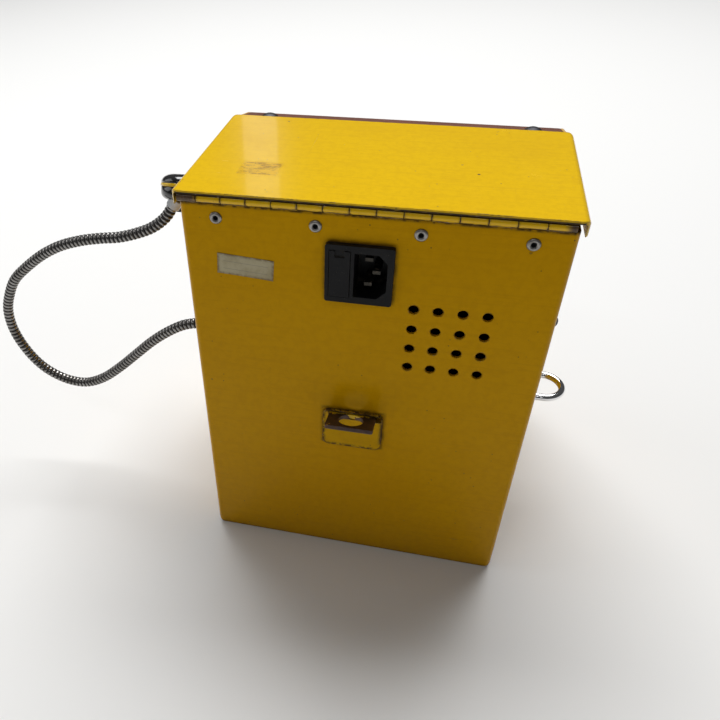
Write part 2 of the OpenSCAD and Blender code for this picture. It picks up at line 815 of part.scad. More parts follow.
module return_cup() {
    color([0.1, 0.1, 0.11]) difference() {
        block([cup_x[0], front_in, cup_z[0]], [cup_x[1], cup_back, cup_z[1]]);
        block([cup_x[0] + cup_wall, front_in - 1, cup_z[0] + cup_wall],
              [cup_x[1] - cup_wall, cup_back - cup_wall, cup_z[1] - cup_wall]);
        block([chute_x[0] + 1.2, chute_y[0] + 1.2, cup_z[1] - 3],
              [chute_x[1] - 1.2, chute_y[1] - 1.2, cup_z[1] + 1]);
        rod_x(cup_x[0] - 1, cup_x[1] + 1, flap_axis_y, flap_axis_z, flap_pin_r + run_c);
    }
}

module return_flap() {
    left = cup_x[0] + 2.6;
    right = cup_x[1] - 2.6;
    color([0.7, 0.7, 0.71]) {
        block([left, front_y + 0.1, cup_z[0] + 2.6], [right, front_in - 0.1, flap_axis_z]);
        block([left, front_y + 0.1, flap_axis_z - 2], [right, flap_axis_y, flap_axis_z]);
        rod_x(left, right, flap_axis_y, flap_axis_z, 2);
        rod_x(cup_x[0] + 0.2, cup_x[1] - 0.2, flap_axis_y, flap_axis_z, flap_pin_r);
    }
}

// ---------- cash drawer ----------

module drawer_guide() {
    wall = 1.5;
    y0 = drawer_y - drawer_w / 2;
    y1 = drawer_y + drawer_w / 2;
    back_x = drawer_end_x + 1;
    color([0.6, 0.61, 0.62]) difference() {
        union() {
            block([-inner_w, y0 - slide_c - wall, drawer_z - runner_gap - wall],
                  [back_x + wall, y1 + slide_c + wall, drawer_z + 16]);
            block([back_x, y0, sheet_t], [back_x + wall, y1, drawer_z]);
            block([-inner_w + bottom_r, y0 - slide_c - wall, sheet_t],
                  [-inner_w + 60, y0 - slide_c, drawer_z]);
        }
        block([-inner_w - 1, y0 - slide_c, drawer_z - runner_gap],
              [back_x, y1 + slide_c, drawer_z + 20]);
    }
}

module cash_drawer() {
    y0 = drawer_y - drawer_w / 2;
    y1 = drawer_y + drawer_w / 2;
    box_x = -half_w - face_gap;
    color([0.85, 0.68, 0.05]) difference() {
        union() {
            block([drawer_face_x, y0 - face_margin_y, drawer_z - face_margin_z],
                  [box_x, y1 + face_margin_y, drawer_z + drawer_h + face_margin_z]);
            block([box_x - eps, y0, drawer_z], [drawer_end_x, y1, drawer_z + drawer_h]);
        }
        block([box_x + drawer_wall, y0 + drawer_wall, drawer_z + drawer_wall],
              [drawer_end_x - drawer_wall, y1 - drawer_wall, drawer_z + drawer_h + 1]);
        for (y = [-1, 1]) rod_x(drawer_face_x - 1, box_x + 2, drawer_y + y * pull_half, pull_z, pull_r + run_c);
        rod_x(drawer_face_x - 1, box_x + 2, drawer_y, lock_z, 4 + run_c);
    }
}

// Bent-rod pull: two legs and a half circle in a level plane
module drawer_pull() {
    bend_x = drawer_face_x - pull_reach + pull_r + pull_half;
    color([0.75, 0.75, 0.77]) {
        for (y = [-1, 1]) {
            rod_x(bend_x, -half_w - face_gap + drawer_wall, drawer_y + y * pull_half, pull_z, pull_r);
            rod_x(drawer_face_x - 1.2, drawer_face_x, drawer_y + y * pull_half, pull_z, 4);
        }
        translate([bend_x, drawer_y, pull_z]) rotate([0, 0, 90])
            rotate_extrude(angle = 180) translate([pull_half, 0]) circle(pull_r);
    }
}

module drawer_lock_cylinder() {
    cam_x = -inner_w + 0.5;
    color([0.72, 0.72, 0.74]) union() {
        lock_barrel(drawer_face_x - 1.5, cam_x, drawer_y, lock_z, 4, cam_len, 0);
        difference() {
            rod_x(drawer_face_x - 1.5, drawer_face_x, drawer_y, lock_z, 5.5);
            rod_x(drawer_face_x - 2, drawer_face_x + 1, drawer_y, lock_z, 3.9);
        }
    }
}

// ---------- tickets ----------

module roll_bracket() {
    color([0.62, 0.63, 0.64]) difference() {
        union() {
            for (x = [bay_x - bay_in - bay_wall, bay_x + bay_in])
                block([x, roll_y - 15, sheet_t], [x + bay_wall, roll_y + 15, roll_z + 9]);
            block([bay_x - bay_in - bay_wall, roll_y - 15, sheet_t],
                  [bay_x + bay_in + bay_wall, roll_y + 15, 2 * sheet_t]);
        }
        rod_x(-reach, reach, roll_y, roll_z, spindle_r + run_c);
        block([-reach, roll_y - spindle_r - run_c, roll_z], [reach, roll_y + spindle_r + run_c, case_h]);
    }
}

module roll_spindle() {
    color([0.72, 0.72, 0.74]) difference() {
        rod_x(bay_x - bay_in - bay_wall - 1, bay_x + bay_in + bay_wall + 1, roll_y, roll_z, spindle_r);
        rod_x(bay_x - reach, bay_x + reach, roll_y, roll_z, spindle_r - 2.5);
    }
}

module ticket_roll() {
    color([0.93, 0.92, 0.88]) difference() {
        rod_x(bay_x - roll_w / 2, bay_x + roll_w / 2, roll_y, roll_z, roll_d / 2);
        rod_x(bay_x - roll_w, bay_x + roll_w, roll_y, roll_z, core_r);
    }
}

module roll_core() {
    color([0.6, 0.48, 0.35]) difference() {
        rod_x(bay_x - roll_w / 2, bay_x + roll_w / 2, roll_y, roll_z, core_r);
        rod_x(bay_x - roll_w, bay_x + roll_w, roll_y, roll_z, spindle_r + 2 * run_c);
    }
}

module printer_frame() {
    y0 = platen_y - 14;
    y1 = platen_y + 30;
    color([0.2, 0.2, 0.22]) difference() {
        union() {
            for (x = [bay_x - bay_in - bay_wall, bay_x + bay_in]) {
                block([x, y0, 2 * sheet_t], [x + bay_wall, y1, platen_z + 20]);
                block([x, front_in + 13, sheet_t], [x + bay_wall, y1, 2 * sheet_t + 1]);
            }
            block([bay_x - bay_in - bay_wall, y0, 2 * sheet_t],
                  [bay_x + bay_in + bay_wall, y1, 2 * sheet_t + 1.5]);
        }
        rod_x(-reach, reach, platen_y, platen_z, shaft_r + run_c);
        rod_x(bay_x, reach, motor_y, motor_z, shaft_r + 2);
    }
}

module platen_roller() {
    color([0.1, 0.1, 0.1]) {
        rod_x(bay_x - bay_in + 0.5, bay_x + bay_in - 0.5, platen_y, platen_z, platen_r);
        rod_x(bay_x - bay_in - bay_wall - 1, bay_x + bay_in + bay_wall + 1 + gear_w,
              platen_y, platen_z, shaft_r);
    }
}

module platen_gear() {
    color([0.9, 0.9, 0.86]) difference() {
        translate([gear_x, platen_y, platen_z]) rotate([90, 0, 90]) rotate(gear_line)
            spur(platen_teeth, gear_w);
        rod_x(gear_x - 1, gear_x + gear_w + 1, platen_y, platen_z, shaft_r);
    }
}

module motor_pinion() {
    color([0.75, 0.68, 0.45]) {
        translate([gear_x, motor_y, motor_z]) rotate([90, 0, 90])
            rotate(gear_line + 180 + 180 / pinion_teeth) spur(pinion_teeth, gear_w);
        rod_x(gear_x - bay_wall - 1.4, gear_x + eps, motor_y, motor_z, shaft_r - 1);
    }
}

module stepper_motor() {
    motor_x = bay_x + bay_in;
    color([0.55, 0.55, 0.57]) difference() {
        union() {
            rod_x(motor_x - 18, motor_x, motor_y, motor_z, motor_r);
            block([motor_x - 1.2, motor_y - 4, motor_z - motor_r - 5],
                  [motor_x, motor_y + 4, motor_z - motor_r + 3]);
        }
        rod_x(motor_x - 3, motor_x + 1, motor_y, motor_z, shaft_r - 1 + 2 * run_c);
    }
}

module print_head() {
    z0 = platen_z + platen_r + 0.2;
    color([0.16, 0.16, 0.18]) {
        block([bay_x - bay_in, platen_y - 4, z0], [bay_x + bay_in, platen_y + 10, z0 + head_t]);
        for (i = [0 : 6]) block([bay_x - 25 + i * 8, platen_y - 2, z0 + head_t - eps],
                                [bay_x - 23 + i * 8, platen_y + 8, z0 + head_t + 3]);
    }
}

module ticket_bezel() {
    slot_z = platen_z + platen_r;
    color([0.07, 0.07, 0.08]) difference() {
        union() {
            along_y(front_y - 3, front_y) translate([bay_x, slot_z])
                rounded_rect(ticket_slot_w + 16, 22, 3);
            along_y(front_y, front_in + 3) translate([bay_x, slot_z])
                square([ticket_slot_w + 8 - 2 * fit_c, 14 - 2 * fit_c], center = true);
        }
        along_y(front_y - 5, front_in + 5) translate([bay_x, slot_z])
            square([ticket_slot_w, ticket_slot_h], center = true);
    }
}

// ---------- handset ----------

module handset_cradle() {
    top = shell_low;
    floor_z = top - cup_h - 3;
    y_rear = cup_y[0] + cup_r + 2.8;
    y_front = cup_y[1] - cup_r - 2.8;
    color([0.08, 0.08, 0.09]) difference() {
        in_handset() difference() {
            block([half_w - handset_at[0], y_front, floor_z], [12, y_rear, top]);
            for (y = cup_y) translate([0, y, top - cup_h - cradle_gap]) cylinder(h = 20, r = cup_r + 0.6);
            translate([0, hook_y, floor_z - 1]) cylinder(h = 20, r = 4 + slide_c / 2);
        }
        for (p = cradle_screw_points()) rod_x(half_w - 1, half_w + 5.3, p[0], p[1], 2);
    }
}

module hook_plunger() {
    top = shell_low - 0.1;
    color([0.8, 0.78, 0.7]) in_handset() translate([0, hook_y, top - 7]) {
        cylinder(h = 7, r = 4);
        translate([0, 0, -2.6]) cylinder(h = 2, r = 4);
        cylinder(h = 0.1, r = 4);
        translate([0, 0, -1]) cylinder(h = 1.1, r = 4);
    }
}

module handset_upper() {
    z0 = trim_h / 2;
    color([0.05, 0.05, 0.06]) in_handset() hull() for (y = [0, -handset_span]) translate([0, y, z0]) {
        cylinder(h = 1.5, r = handset_r);
        cylinder(h = shell_high - z0 - 1.4, r = handset_r - 1.6);
        cylinder(h = shell_high - z0, r = handset_r - 5);
    }
}

module handset_lower() {
    z0 = -trim_h / 2;
    color([0.05, 0.05, 0.06]) in_handset() difference() {
        union() {
            hull() for (y = [0, -handset_span]) translate([0, y, z0]) mirror([0, 0, 1]) {
                cylinder(h = 3.5, r = handset_r);
                cylinder(h = -shell_low + z0 - 1.6, r = handset_r - 1.2);
                cylinder(h = -shell_low + z0, r = handset_r - 4);
            }
            for (y = cup_y) translate([0, y, shell_low - cup_h]) cylinder(h = cup_h + 1, r = cup_r);
        }
        for (y = cup_y) translate([0, y, shell_low - cup_h - 1]) cylinder(h = 2.5, r = cup_r - 1.8);
    }
}

module handset_trim() {
    color([0.85, 0.68, 0.05]) in_handset() translate([0, 0, -trim_h / 2])
        linear_extrude(trim_h) stadium(handset_r + 0.25, handset_span);
}

// Perforated discs over the microphone and the receiver
module handset_caps() {
    color([0.1, 0.1, 0.11]) in_handset() for (y = cup_y)
        translate([0, y, shell_low - cup_h + 0.3]) difference() {
            cylinder(h = 1.2, r = cup_r - 1.85);
            for (a = [0 : 60 : 300]) rotate(a) translate([5, 0, -1]) cylinder(h = 4, r = 0.9);
            translate([0, 0, -1]) cylinder(h = 4, r = 0.9);
        }
}

// Ferrule between the handset and the cord, on the cord's first line
module handset_ferrule() {
    way = unit(cord_points[1] - cord_points[0]);
    color([0.72, 0.73, 0.75]) difference() {
        translate(ferrule_at) rotate([0, atan2(way[0], way[2]), 0]) translate([0, 0, -6])
            cylinder(h = 6, r = cord_d / 2 + 0.7);
        in_handset() hull() for (y = [0, -handset_span]) translate([0, y, -trim_h / 2]) mirror([0, 0, 1]) {
            cylinder(h = 3.5, r = handset_r);
            cylinder(h = -shell_low - trim_h / 2 - 1.6, r = handset_r - 1.2);
            cylinder(h = -shell_low - trim_h / 2, r = handset_r - 4);
        }
    }
}

module cord_gland() {
    color([0.55, 0.55, 0.56]) {
        rod_x(half_w, half_w + 4, gland_y, gland_z, 7);
        rod_x(half_w + 3.9, half_w + gland_len, gland_y, gland_z, cord_d / 2 + 1.2);
        rod_x(inner_w - 6, half_w + 0.1, gland_y, gland_z, 4.2);
        rod_x(inner_w - 4, inner_w, gland_y, gland_z, 7);
    }
}

// Frames that stay square to the route, kept level across the plane of the loop
function route_way(p, i) = unit(p[min(i + 1, len(p) - 1)] - p[max(i - 1, 0)]);
function ring_point(p, i, a) =
    let (t = route_way(p, i), side = [0, 1, 0], up = cross(t, side))
    p[i] + cord_d / 2 * (cos(a) * side + sin(a) * up);

module swept_tube(p) {
    n = len(p);
    m = cord_sides;
    polyhedron(
        points = [for (i = [0 : n - 1], j = [0 : m - 1]) ring_point(p, i, j * 360 / m)],
        faces = concat(
            [[for (j = [0 : m - 1]) j]],
            [for (i = [0 : n - 2], j = [0 : m - 1])
                [i * m + j, (i + 1) * m + j, (i + 1) * m + (j + 1) % m, i * m + (j + 1) % m]],
            [[for (j = [m - 1 : -1 : 0]) (n - 1) * m + j]]
        )
    );
}

module handset_cord() {
    color([0.72, 0.72, 0.72]) swept_tube(cord_points);
}

case_shell();
front_panel();
console_fascia();
fascia_screws();
case_screws();
lid_cover();
case_hinge_leaf();
lid_hinge_leaf();
hinge_pin();
hinge_rivets();
lid_catch();
lid_lock_housing();
lid_lock_cylinder();
anchor_plate();
anchor_tongue();
asset_label();
power_inlet();
inlet_pins();
fuse_drawer();
power_supply();
control_board();
display_module();
display_window();
select_button_1();
select_button_2();
select_button_3();
button_bezels();
coin_slot_plate();
coin_return_button();
coin_acceptor();
reject_chute();
return_cup();
return_flap();
drawer_guide();
cash_drawer();
drawer_pull();
drawer_lock_cylinder();
roll_bracket();
roll_spindle();
ticket_roll();
roll_core();
printer_frame();
platen_roller();
platen_gear();
print_head();
stepper_motor();
motor_pinion();
ticket_bezel();
handset_cradle();
hook_plunger();
handset_upper();
handset_lower();
handset_trim();
handset_caps();
handset_ferrule();
cord_gland();
handset_cord();
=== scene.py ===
# The looks of the ticket vending machine: materials, the armoured cord, the handset's rounded
# shells and the small fittings, over the CAD frame. Metres; +X the user's right, +Y the back, +Z up.
import math

import bpy
from mathutils import Matrix, Vector


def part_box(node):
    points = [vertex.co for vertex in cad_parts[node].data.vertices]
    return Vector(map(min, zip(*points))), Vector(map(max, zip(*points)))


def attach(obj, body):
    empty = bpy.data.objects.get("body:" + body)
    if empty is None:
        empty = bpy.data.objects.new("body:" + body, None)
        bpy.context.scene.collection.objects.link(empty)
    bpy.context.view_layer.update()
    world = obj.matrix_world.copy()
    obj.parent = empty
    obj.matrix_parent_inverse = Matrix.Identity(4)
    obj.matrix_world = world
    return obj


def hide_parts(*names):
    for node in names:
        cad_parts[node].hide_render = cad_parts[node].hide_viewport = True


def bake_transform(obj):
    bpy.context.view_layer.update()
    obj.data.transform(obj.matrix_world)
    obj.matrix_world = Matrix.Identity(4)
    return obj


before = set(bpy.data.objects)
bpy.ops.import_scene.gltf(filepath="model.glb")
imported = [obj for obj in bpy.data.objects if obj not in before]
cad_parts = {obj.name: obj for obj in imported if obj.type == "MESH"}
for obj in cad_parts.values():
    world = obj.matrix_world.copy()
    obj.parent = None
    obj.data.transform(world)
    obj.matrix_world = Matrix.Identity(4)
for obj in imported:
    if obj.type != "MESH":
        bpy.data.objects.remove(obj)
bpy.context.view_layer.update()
MM = 0.001


# ---------- camera ----------

def look(position, forward, right):
    """A camera placed by its own directions."""
    forward, right = Vector(forward).normalized(), Vector(right).normalized()
    up = right.cross(forward)
    camera = bpy.data.objects.new("camera", bpy.data.cameras.new("camera"))
    turn = Matrix((right, up, -forward)).transposed()
    camera.matrix_world = Matrix.Translation(position) @ turn.to_4x4()
    bpy.context.scene.collection.objects.link(camera)
    bpy.context.scene.camera = camera
    return camera


camera = look((-0.0349, 0.4001, 0.3975), (0.1995, -0.7346, -0.6485), (-0.9710, -0.2371, -0.0302))
camera.data.sensor_width = 36
camera.data.lens = 34.85
camera.data.shift_x = 0.115
camera.data.shift_y = 0.048
camera.data.clip_start = 0.01


# ---------- mesh helpers ----------

def new_object(name, verts, faces, smooth=True):
    """A mesh piece in the scene."""
    mesh = bpy.data.meshes.new(name)
    mesh.from_pydata([tuple(v) for v in verts], [], faces)
    mesh.validate()
    for polygon in mesh.polygons:
        polygon.use_smooth = smooth
    piece = bpy.data.objects.new(name, mesh)
    bpy.context.scene.collection.objects.link(piece)
    return piece


def rings_to_faces(rows, columns):
    """Quads between loops of points, with caps on the first and last loop."""
    faces = []
    for i in range(rows - 1):
        a, b = i * columns, (i + 1) * columns
        for j in range(columns):
            k = (j + 1) % columns
            faces.append((a + j, a + k, b + k, b + j))
    faces.append(tuple(reversed(range(columns))))
    faces.append(tuple((rows - 1) * columns + j for j in range(columns)))
    return faces


CURVE_STEPS = 24  # between two points of a smooth path


def smooth_path(points, step):
    """Points about a step apart on a smooth curve through the given ones, and its length."""
    points = [Vector(p) for p in points]
    ends = [2 * points[0] - points[1]] + points + [2 * points[-1] - points[-2]]
    path = []
    for a, b, c, d in zip(ends, ends[1:], ends[2:], ends[3:]):
        for i in range(CURVE_STEPS):
            t = i / CURVE_STEPS
            path.append(0.5 * (2 * b + (c - a) * t + (2 * a - 5 * b + 4 * c - d) * t ** 2
                               + (3 * b - a - 3 * c + d) * t ** 3))
    path.append(points[-1])
    total = sum((q - p).length for p, q in zip(path, path[1:]))
    count = round(total / step)
    even, walked, i = [path[0]], 0.0, 0
    for k in range(1, count):
        target = total * k / count
        while walked + (path[i + 1] - path[i]).length < target:
            walked += (path[i + 1] - path[i]).length
            i += 1
        piece = path[i + 1] - path[i]
        even.append(path[i] + piece * ((target - walked) / piece.length))
    even.append(path[-1])
    return even, total


# ---------- the armoured cord ----------

CORD_D = 7 * MM
HOSE_PITCH = 2.9 * MM
HOSE_DEPTH = 0.16  # of a groove, as a share of the radius
HOSE_PULLED = 0.3  # the share of the hose whose rings are drawn apart
GLAND = Vector((103.25, 45, 137)) * MM
CORD_ROUTE = [Vector((x, 45, z)) * MM for x, z in (
    (120, 219), (126, 211), (135, 204), (146, 199), (159, 195), (172, 193), (186, 190),
    (201, 185), (216, 177), (231, 166), (243, 155), (251, 142), (256, 129), (257, 115),
    (254, 101), (247, 87), (237, 77), (223, 71), (208, 71), (193, 78), (178, 90), (163, 104),
    (149, 117), (136, 127), (124, 134), (113, 137))] + [GLAND]


def hose(name, route, diameter, pitch, sides=20, rows=8):
    """A corrugated steel hose: round rings with narrow grooves, rows of points to a ring."""
    path, total = smooth_path(route, pitch / rows)
    turns = round(total / pitch)
    verts, groove_shades = [], []
    side = Vector((0, 1, 0))
    for i, point in enumerate(path):
        way = (path[min(i + 1, len(path) - 1)] - path[max(i - 1, 0)]).normalized()
        across = way.cross(side).normalized()
        phase = (i / (len(path) - 1) * turns) % 1
        # a broad crown, then a narrow groove, which opens where the hose is pulled at its start
        pulled = max(0, 1 - i / (HOSE_PULLED * len(path)))
        crown = abs(math.sin(math.pi * phase)) ** (0.6 + 0.7 * pulled)
        radius = diameter / 2 * (1 - HOSE_DEPTH + HOSE_DEPTH * crown)
        # painted shade for the grooves: 1 at the bottom of a groove, 0 on a crown
        groove_shades += [1 - crown] * sides
        for j in range(sides):
            angle = math.tau * j / sides
            verts.append(point + radius * (side * math.cos(angle) + across * math.sin(angle)))
    piece = new_object(name, verts, rings_to_faces(len(path), sides))
    piece.data.attributes.new("groove_shade", "FLOAT", "POINT").data.foreach_set("value", groove_shades)
    return piece, path, total


cord, cord_path, cord_length = hose("armoured_cord", CORD_ROUTE, CORD_D, HOSE_PITCH)
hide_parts("handset_cord")
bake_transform(cord)


# ---------- handset shells ----------

HANDSET = (Matrix.Translation(Vector((114, 35, 227.4)) * MM)
           @ Matrix.Rotation(math.radians(24), 4, "X"))
HANDSET_R = 15 * MM
HANDSET_SPAN = 135 * MM  # between the centres of its round ends


def stadium_ring(radius, span, z, arc=20, straight=12):
    """A loop of two half circles joined by straight sides, from y = 0 to y = -span."""
    ring = []
    for centre, start in ((0.0, 0.0), (-span, math.pi)):
        for i in range(arc + 1):
            angle = start + math.pi * i / arc
            ring.append(Vector((radius * math.cos(angle), centre + radius * math.sin(angle), z)))
        x = -radius if centre == 0.0 else radius
        for i in range(1, straight):
            y = -span * i / straight if centre == 0.0 else -span * (1 - i / straight)
            ring.append(Vector((x, y, z)))
    return ring


def lofted(name, profile):
    """A shell of the handset: a stadium loop for each inset and height of the profile."""
    rings = [stadium_ring(HANDSET_R - inset, HANDSET_SPAN, z) for inset, z in profile]
    verts = [HANDSET @ v for ring in rings for v in ring]
    return new_object(name, verts, rings_to_faces(len(rings), len(rings[0])))


def quarter(inset, z, depth, height, steps=8):
    """Profile points round a quarter ellipse that starts upright."""
    return [(inset + depth * (1 - math.cos(math.pi / 2 * i / steps)),
             z + height * math.sin(math.pi / 2 * i / steps)) for i in range(steps + 1)]


upper = lofted("handset_upper_shell", [(0.9 * MM, 0.86 * MM)]
               + quarter(0.05 * MM, 1.1 * MM, 8 * MM, 5.2 * MM) + [(11 * MM, 6.36 * MM)])
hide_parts("handset_upper")

lower = lofted("handset_lower_shell", [
    (0.9 * MM, -0.86 * MM), (0.1 * MM, -1.1 * MM), (0.1 * MM, -4.0 * MM)] + [
    (inset, -z) for inset, z in quarter(0.15 * MM, 4.4 * MM, 4.6 * MM, 4.15 * MM)] + [
    (9 * MM, -8.6 * MM)])
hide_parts("handset_lower")

trim = lofted("handset_trim_band", [
    (0.9 * MM, -0.85 * MM), (0.0, -0.85 * MM), (-0.22 * MM, -0.6 * MM), (-0.25 * MM, 0.0),
    (-0.22 * MM, 0.6 * MM), (0.0, 0.85 * MM), (0.9 * MM, 0.85 * MM)])
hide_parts("handset_trim")


TURNED_SIDES = 48


def turned(name, profile, place):
    """A surface turned about local Z from points of radius and height."""
    angles = [math.tau * k / TURNED_SIDES for k in range(TURNED_SIDES)]
    verts = [place @ Vector((r * math.cos(a), r * math.sin(a), z)) for r, z in profile for a in angles]
    return new_object(name, verts, rings_to_faces(len(profile), TURNED_SIDES))


# the rim round the caps, as radius and height
CUP = [(12.1, -7.5), (12.15, -11.8), (11.9, -12.5), (11.4, -12.85), (10.6, -12.8), (10.42, -12.4),
       (10.4, -11.45)]
CUP_PLACES = (-26, -112)
handset_pieces = [upper, lower, trim]
for number, y in enumerate(CUP_PLACES, 1):
    place = HANDSET @ Matrix.Translation((0, y * MM, 0))
    cup = turned(f"handset_cup_{number}", [(r * MM, h * MM) for r, h in CUP], place)
    handset_pieces.append(cup)
for piece in handset_pieces:
    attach(piece, "handset")


# ---------- label ----------

TAPE_THICKNESS = 0.18 * MM


def label(name, width, height, place, columns=24, rows=10):
    """A thin tape whose corners lift a little."""
    verts, faces = [], []
    for i in range(rows + 1):
        for j in range(columns + 1):
            x, y = (j / columns - 0.5) * width, (i / rows - 0.5) * height
            lift = max(0, abs(x) / width * 2 + abs(y) / height * 2 - 1.55) * 0.5 * MM
            verts.append((x, y, TAPE_THICKNESS + lift))
    for i in range(rows):
        for j in range(columns):
            a = i * (columns + 1) + j
            faces.append((a, a + 1, a + columns + 2, a + columns + 1))
    piece = new_object(name, verts, faces)
    piece.matrix_world = place
    return piece


rear_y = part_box("asset_label")[0].y
tape = label("asset_label_tape", 30.3 * MM, 11.8 * MM,
             Matrix.Translation((62.4 * MM, rear_y, 213.2 * MM))
             @ Matrix.Rotation(math.radians(-4), 4, "Y")
             @ Matrix.Rotation(math.pi, 4, "Z") @ Matrix.Rotation(math.pi / 2, 4, "X"))
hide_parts("asset_label")
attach(tape, "case")


# ---------- blind rivets ----------

# a rivet from its blind end to its hollow head, as radius and height over the rear face
RIVET = [(0.95, -4.5), (2.2, -4.5), (2.58, -4.1), (2.58, -3.1), (2.3, -2.75), (1.5, -2.72),
         (1.5, -0.02), (3.22, 0.02), (3.25, 0.25), (3.12, 0.55), (2.8, 0.86), (2.4, 1.05),
         (2.05, 1.1), (1.7, 1.0), (1.35, 0.75), (1.1, 0.4), (0.98, 0.1), (0.95, -0.5),
         (0.9, -0.9), (0.6, -0.95)]
RIVET_HEAD, RIVET_R, RIVET_COUNT = 1.1 * MM, 3.25 * MM, 4
rivet_low, rivet_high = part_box("hinge_rivets")
rear_face = rivet_high.y - RIVET_HEAD
rivets = []
for number in range(RIVET_COUNT):
    x = (rivet_low.x + RIVET_R
         + number * (rivet_high.x - rivet_low.x - 2 * RIVET_R) / (RIVET_COUNT - 1))
    place = (Matrix.Translation((x, rear_face, (rivet_low.z + rivet_high.z) / 2))
             @ Matrix.Rotation(-math.pi / 2, 4, "X"))
    rivet = turned(f"blind_rivet_{number + 1}", [(r * MM, h * MM) for r, h in RIVET], place)
    # where painted shade goes: 1 in the middle of the head, 0 on its rim and on the blind end
    hollow_shade = [min(1, max(0, (1.75 - r) / 0.7)) if h > -2 else 0
              for r, h in RIVET for _ in range(TURNED_SIDES)]
    rivet.data.attributes.new("hollow_shade", "FLOAT", "POINT").data.foreach_set("value", hollow_shade)
    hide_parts("hinge_rivets")
    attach(rivet, "case")
    rivets.append(rivet)


# ---------- materials ----------

class Paint:
    """Short calls that build one material's nodes. Positions are in metres."""

    def __init__(self, name, color, roughness, metallic=0.0, **sockets):
        self.material = bpy.data.materials.new(name)
        self.material.use_nodes = True
        self.tree = self.material.node_tree
        self.shader = self.tree.nodes["Principled BSDF"]
        self.position = self.add("ShaderNodeTexCoord").outputs["Object"]
        self.normal = None
        self.color = self.rgb(color)
        self.roughness = roughness
        self.metallic = metallic
        for socket, value in sockets.items():
            self.shader.inputs[socket.replace("_", " ")].default_value = value

    def add(self, kind, values=None, **settings):
        node = self.tree.nodes.new(kind)
        for key, value in settings.items():
            setattr(node, key, value)
        for key, value in (values or {}).items():
            self.put(node.inputs[key], value)
        return node

    def put(self, socket, value):
        if isinstance(value, bpy.types.NodeSocket):
            self.tree.links.new(value, socket)
        elif value is not None:
            socket.default_value = value

    @staticmethod
    def rgb(color):
        return (*color[:3], 1.0)

    def stretched(self, scale, turn=(0, 0, 0)):
        return self.add("ShaderNodeMapping", {"Vector": self.position, "Scale": scale,
                                              "Rotation": turn}).outputs["Vector"]

    def noise(self, scale, detail=4.0, rough=0.55, vector=None):
        return self.add("ShaderNodeTexNoise", {"Vector": vector or self.position, "Scale": scale,
            "Detail": detail, "Roughness": rough}).outputs["Fac"]

    def cells(self, scale, vector=None, feature="F1", randomness=1.0):
        return self.add("ShaderNodeTexVoronoi", {"Vector": vector or self.position, "Scale": scale,
            "Randomness": randomness}, feature=feature).outputs["Distance"]

    def ramp(self, value, low, high, out_low=0.0, out_high=1.0):
        return self.add("ShaderNodeMapRange", {"Value": value, "From Min": low, "From Max": high,
            "To Min": out_low, "To Max": out_high}, interpolation_type="SMOOTHSTEP").outputs["Result"]

    def math(self, operation, a, b=None):
        node = self.add("ShaderNodeMath", operation=operation, use_clamp=operation == "ADD")
        self.put(node.inputs[0], a)
        self.put(node.inputs[1], b)
        return node.outputs[0]

    def both(self, *masks):
        result = masks[0]
        for mask in masks[1:]:
            result = self.math("MULTIPLY", result, mask)
        return result

    def either(self, *masks):
        result = masks[0]
        for mask in masks[1:]:
            result = self.math("MAXIMUM", result, mask)
        return result

    def edges(self, radius):
        """A mask of the surface's bends and edges."""
        bevel = self.add("ShaderNodeBevel", {"Radius": radius}, samples=6).outputs["Normal"]
        flat = self.add("ShaderNodeNewGeometry").outputs["True Normal"]
        dot = self.add("ShaderNodeVectorMath", {0: bevel, 1: flat}, operation="DOT_PRODUCT")
        return self.ramp(dot.outputs["Value"], 0.992, 0.7)

    def corners(self, distance):
        """A mask of inner corners from ambient occlusion: painted shade in the paints and bare metal,
        dirt on the plastics and the board.
        """
        fac = self.add("ShaderNodeAmbientOcclusion", {"Distance": distance}, samples=6).outputs["AO"]
        return self.ramp(fac, 0.85, 0.35)

    def inside(self, low, high, soft):
        """A mask that is 1 within a box and fades over the soft margin."""
        parts = self.add("ShaderNodeSeparateXYZ", {"Vector": self.position})
        mask = None
        for axis in range(3):
            if low[axis] is None:
                continue
            middle, half = (low[axis] + high[axis]) / 2, (high[axis] - low[axis]) / 2
            away = self.math("ABSOLUTE", self.math("SUBTRACT", parts.outputs[axis], middle))
            part = self.ramp(away, half + soft, half - soft)
            mask = part if mask is None else self.both(mask, part)
        return mask

    def blend(self, mask, color=None, roughness=None, metallic=None):
        """Lays another finish over the present one where the mask is 1."""
        if color is not None:
            node = self.add("ShaderNodeMix", data_type="RGBA")
            self.put(node.inputs[0], mask)
            self.put(node.inputs[6], self.color)
            self.put(node.inputs[7], self.rgb(color))
            self.color = node.outputs[2]
        for name, value in (("roughness", roughness), ("metallic", metallic)):
            if value is not None:
                node = self.add("ShaderNodeMix", {0: mask}, data_type="FLOAT")
                self.put(node.inputs[2], getattr(self, name))
                self.put(node.inputs[3], value)
                setattr(self, name, node.outputs[0])

    def bump(self, height, distance, strength=1.0):
        self.normal = self.add("ShaderNodeBump", {"Height": height, "Distance": distance,
            "Strength": strength, "Normal": self.normal}).outputs["Normal"]

    def soften(self, radius):
        """Rounds the look of sharp edges."""
        self.normal = self.add("ShaderNodeBevel", {"Radius": radius}, samples=6).outputs["Normal"]

    def done(self):
        self.put(self.shader.inputs["Base Color"], self.color)
        self.put(self.shader.inputs["Roughness"], self.roughness)
        self.put(self.shader.inputs["Metallic"], self.metallic)
        self.put(self.shader.inputs["Normal"], self.normal)
        return self.material


YELLOW = (0.80, 0.50, 0.003)
# painted shade: the case is a darker, more orange copy of the lid's yellow, because the rear panel
# lies in shade
SHADED_YELLOW = (0.65, 0.33, 0.0008)


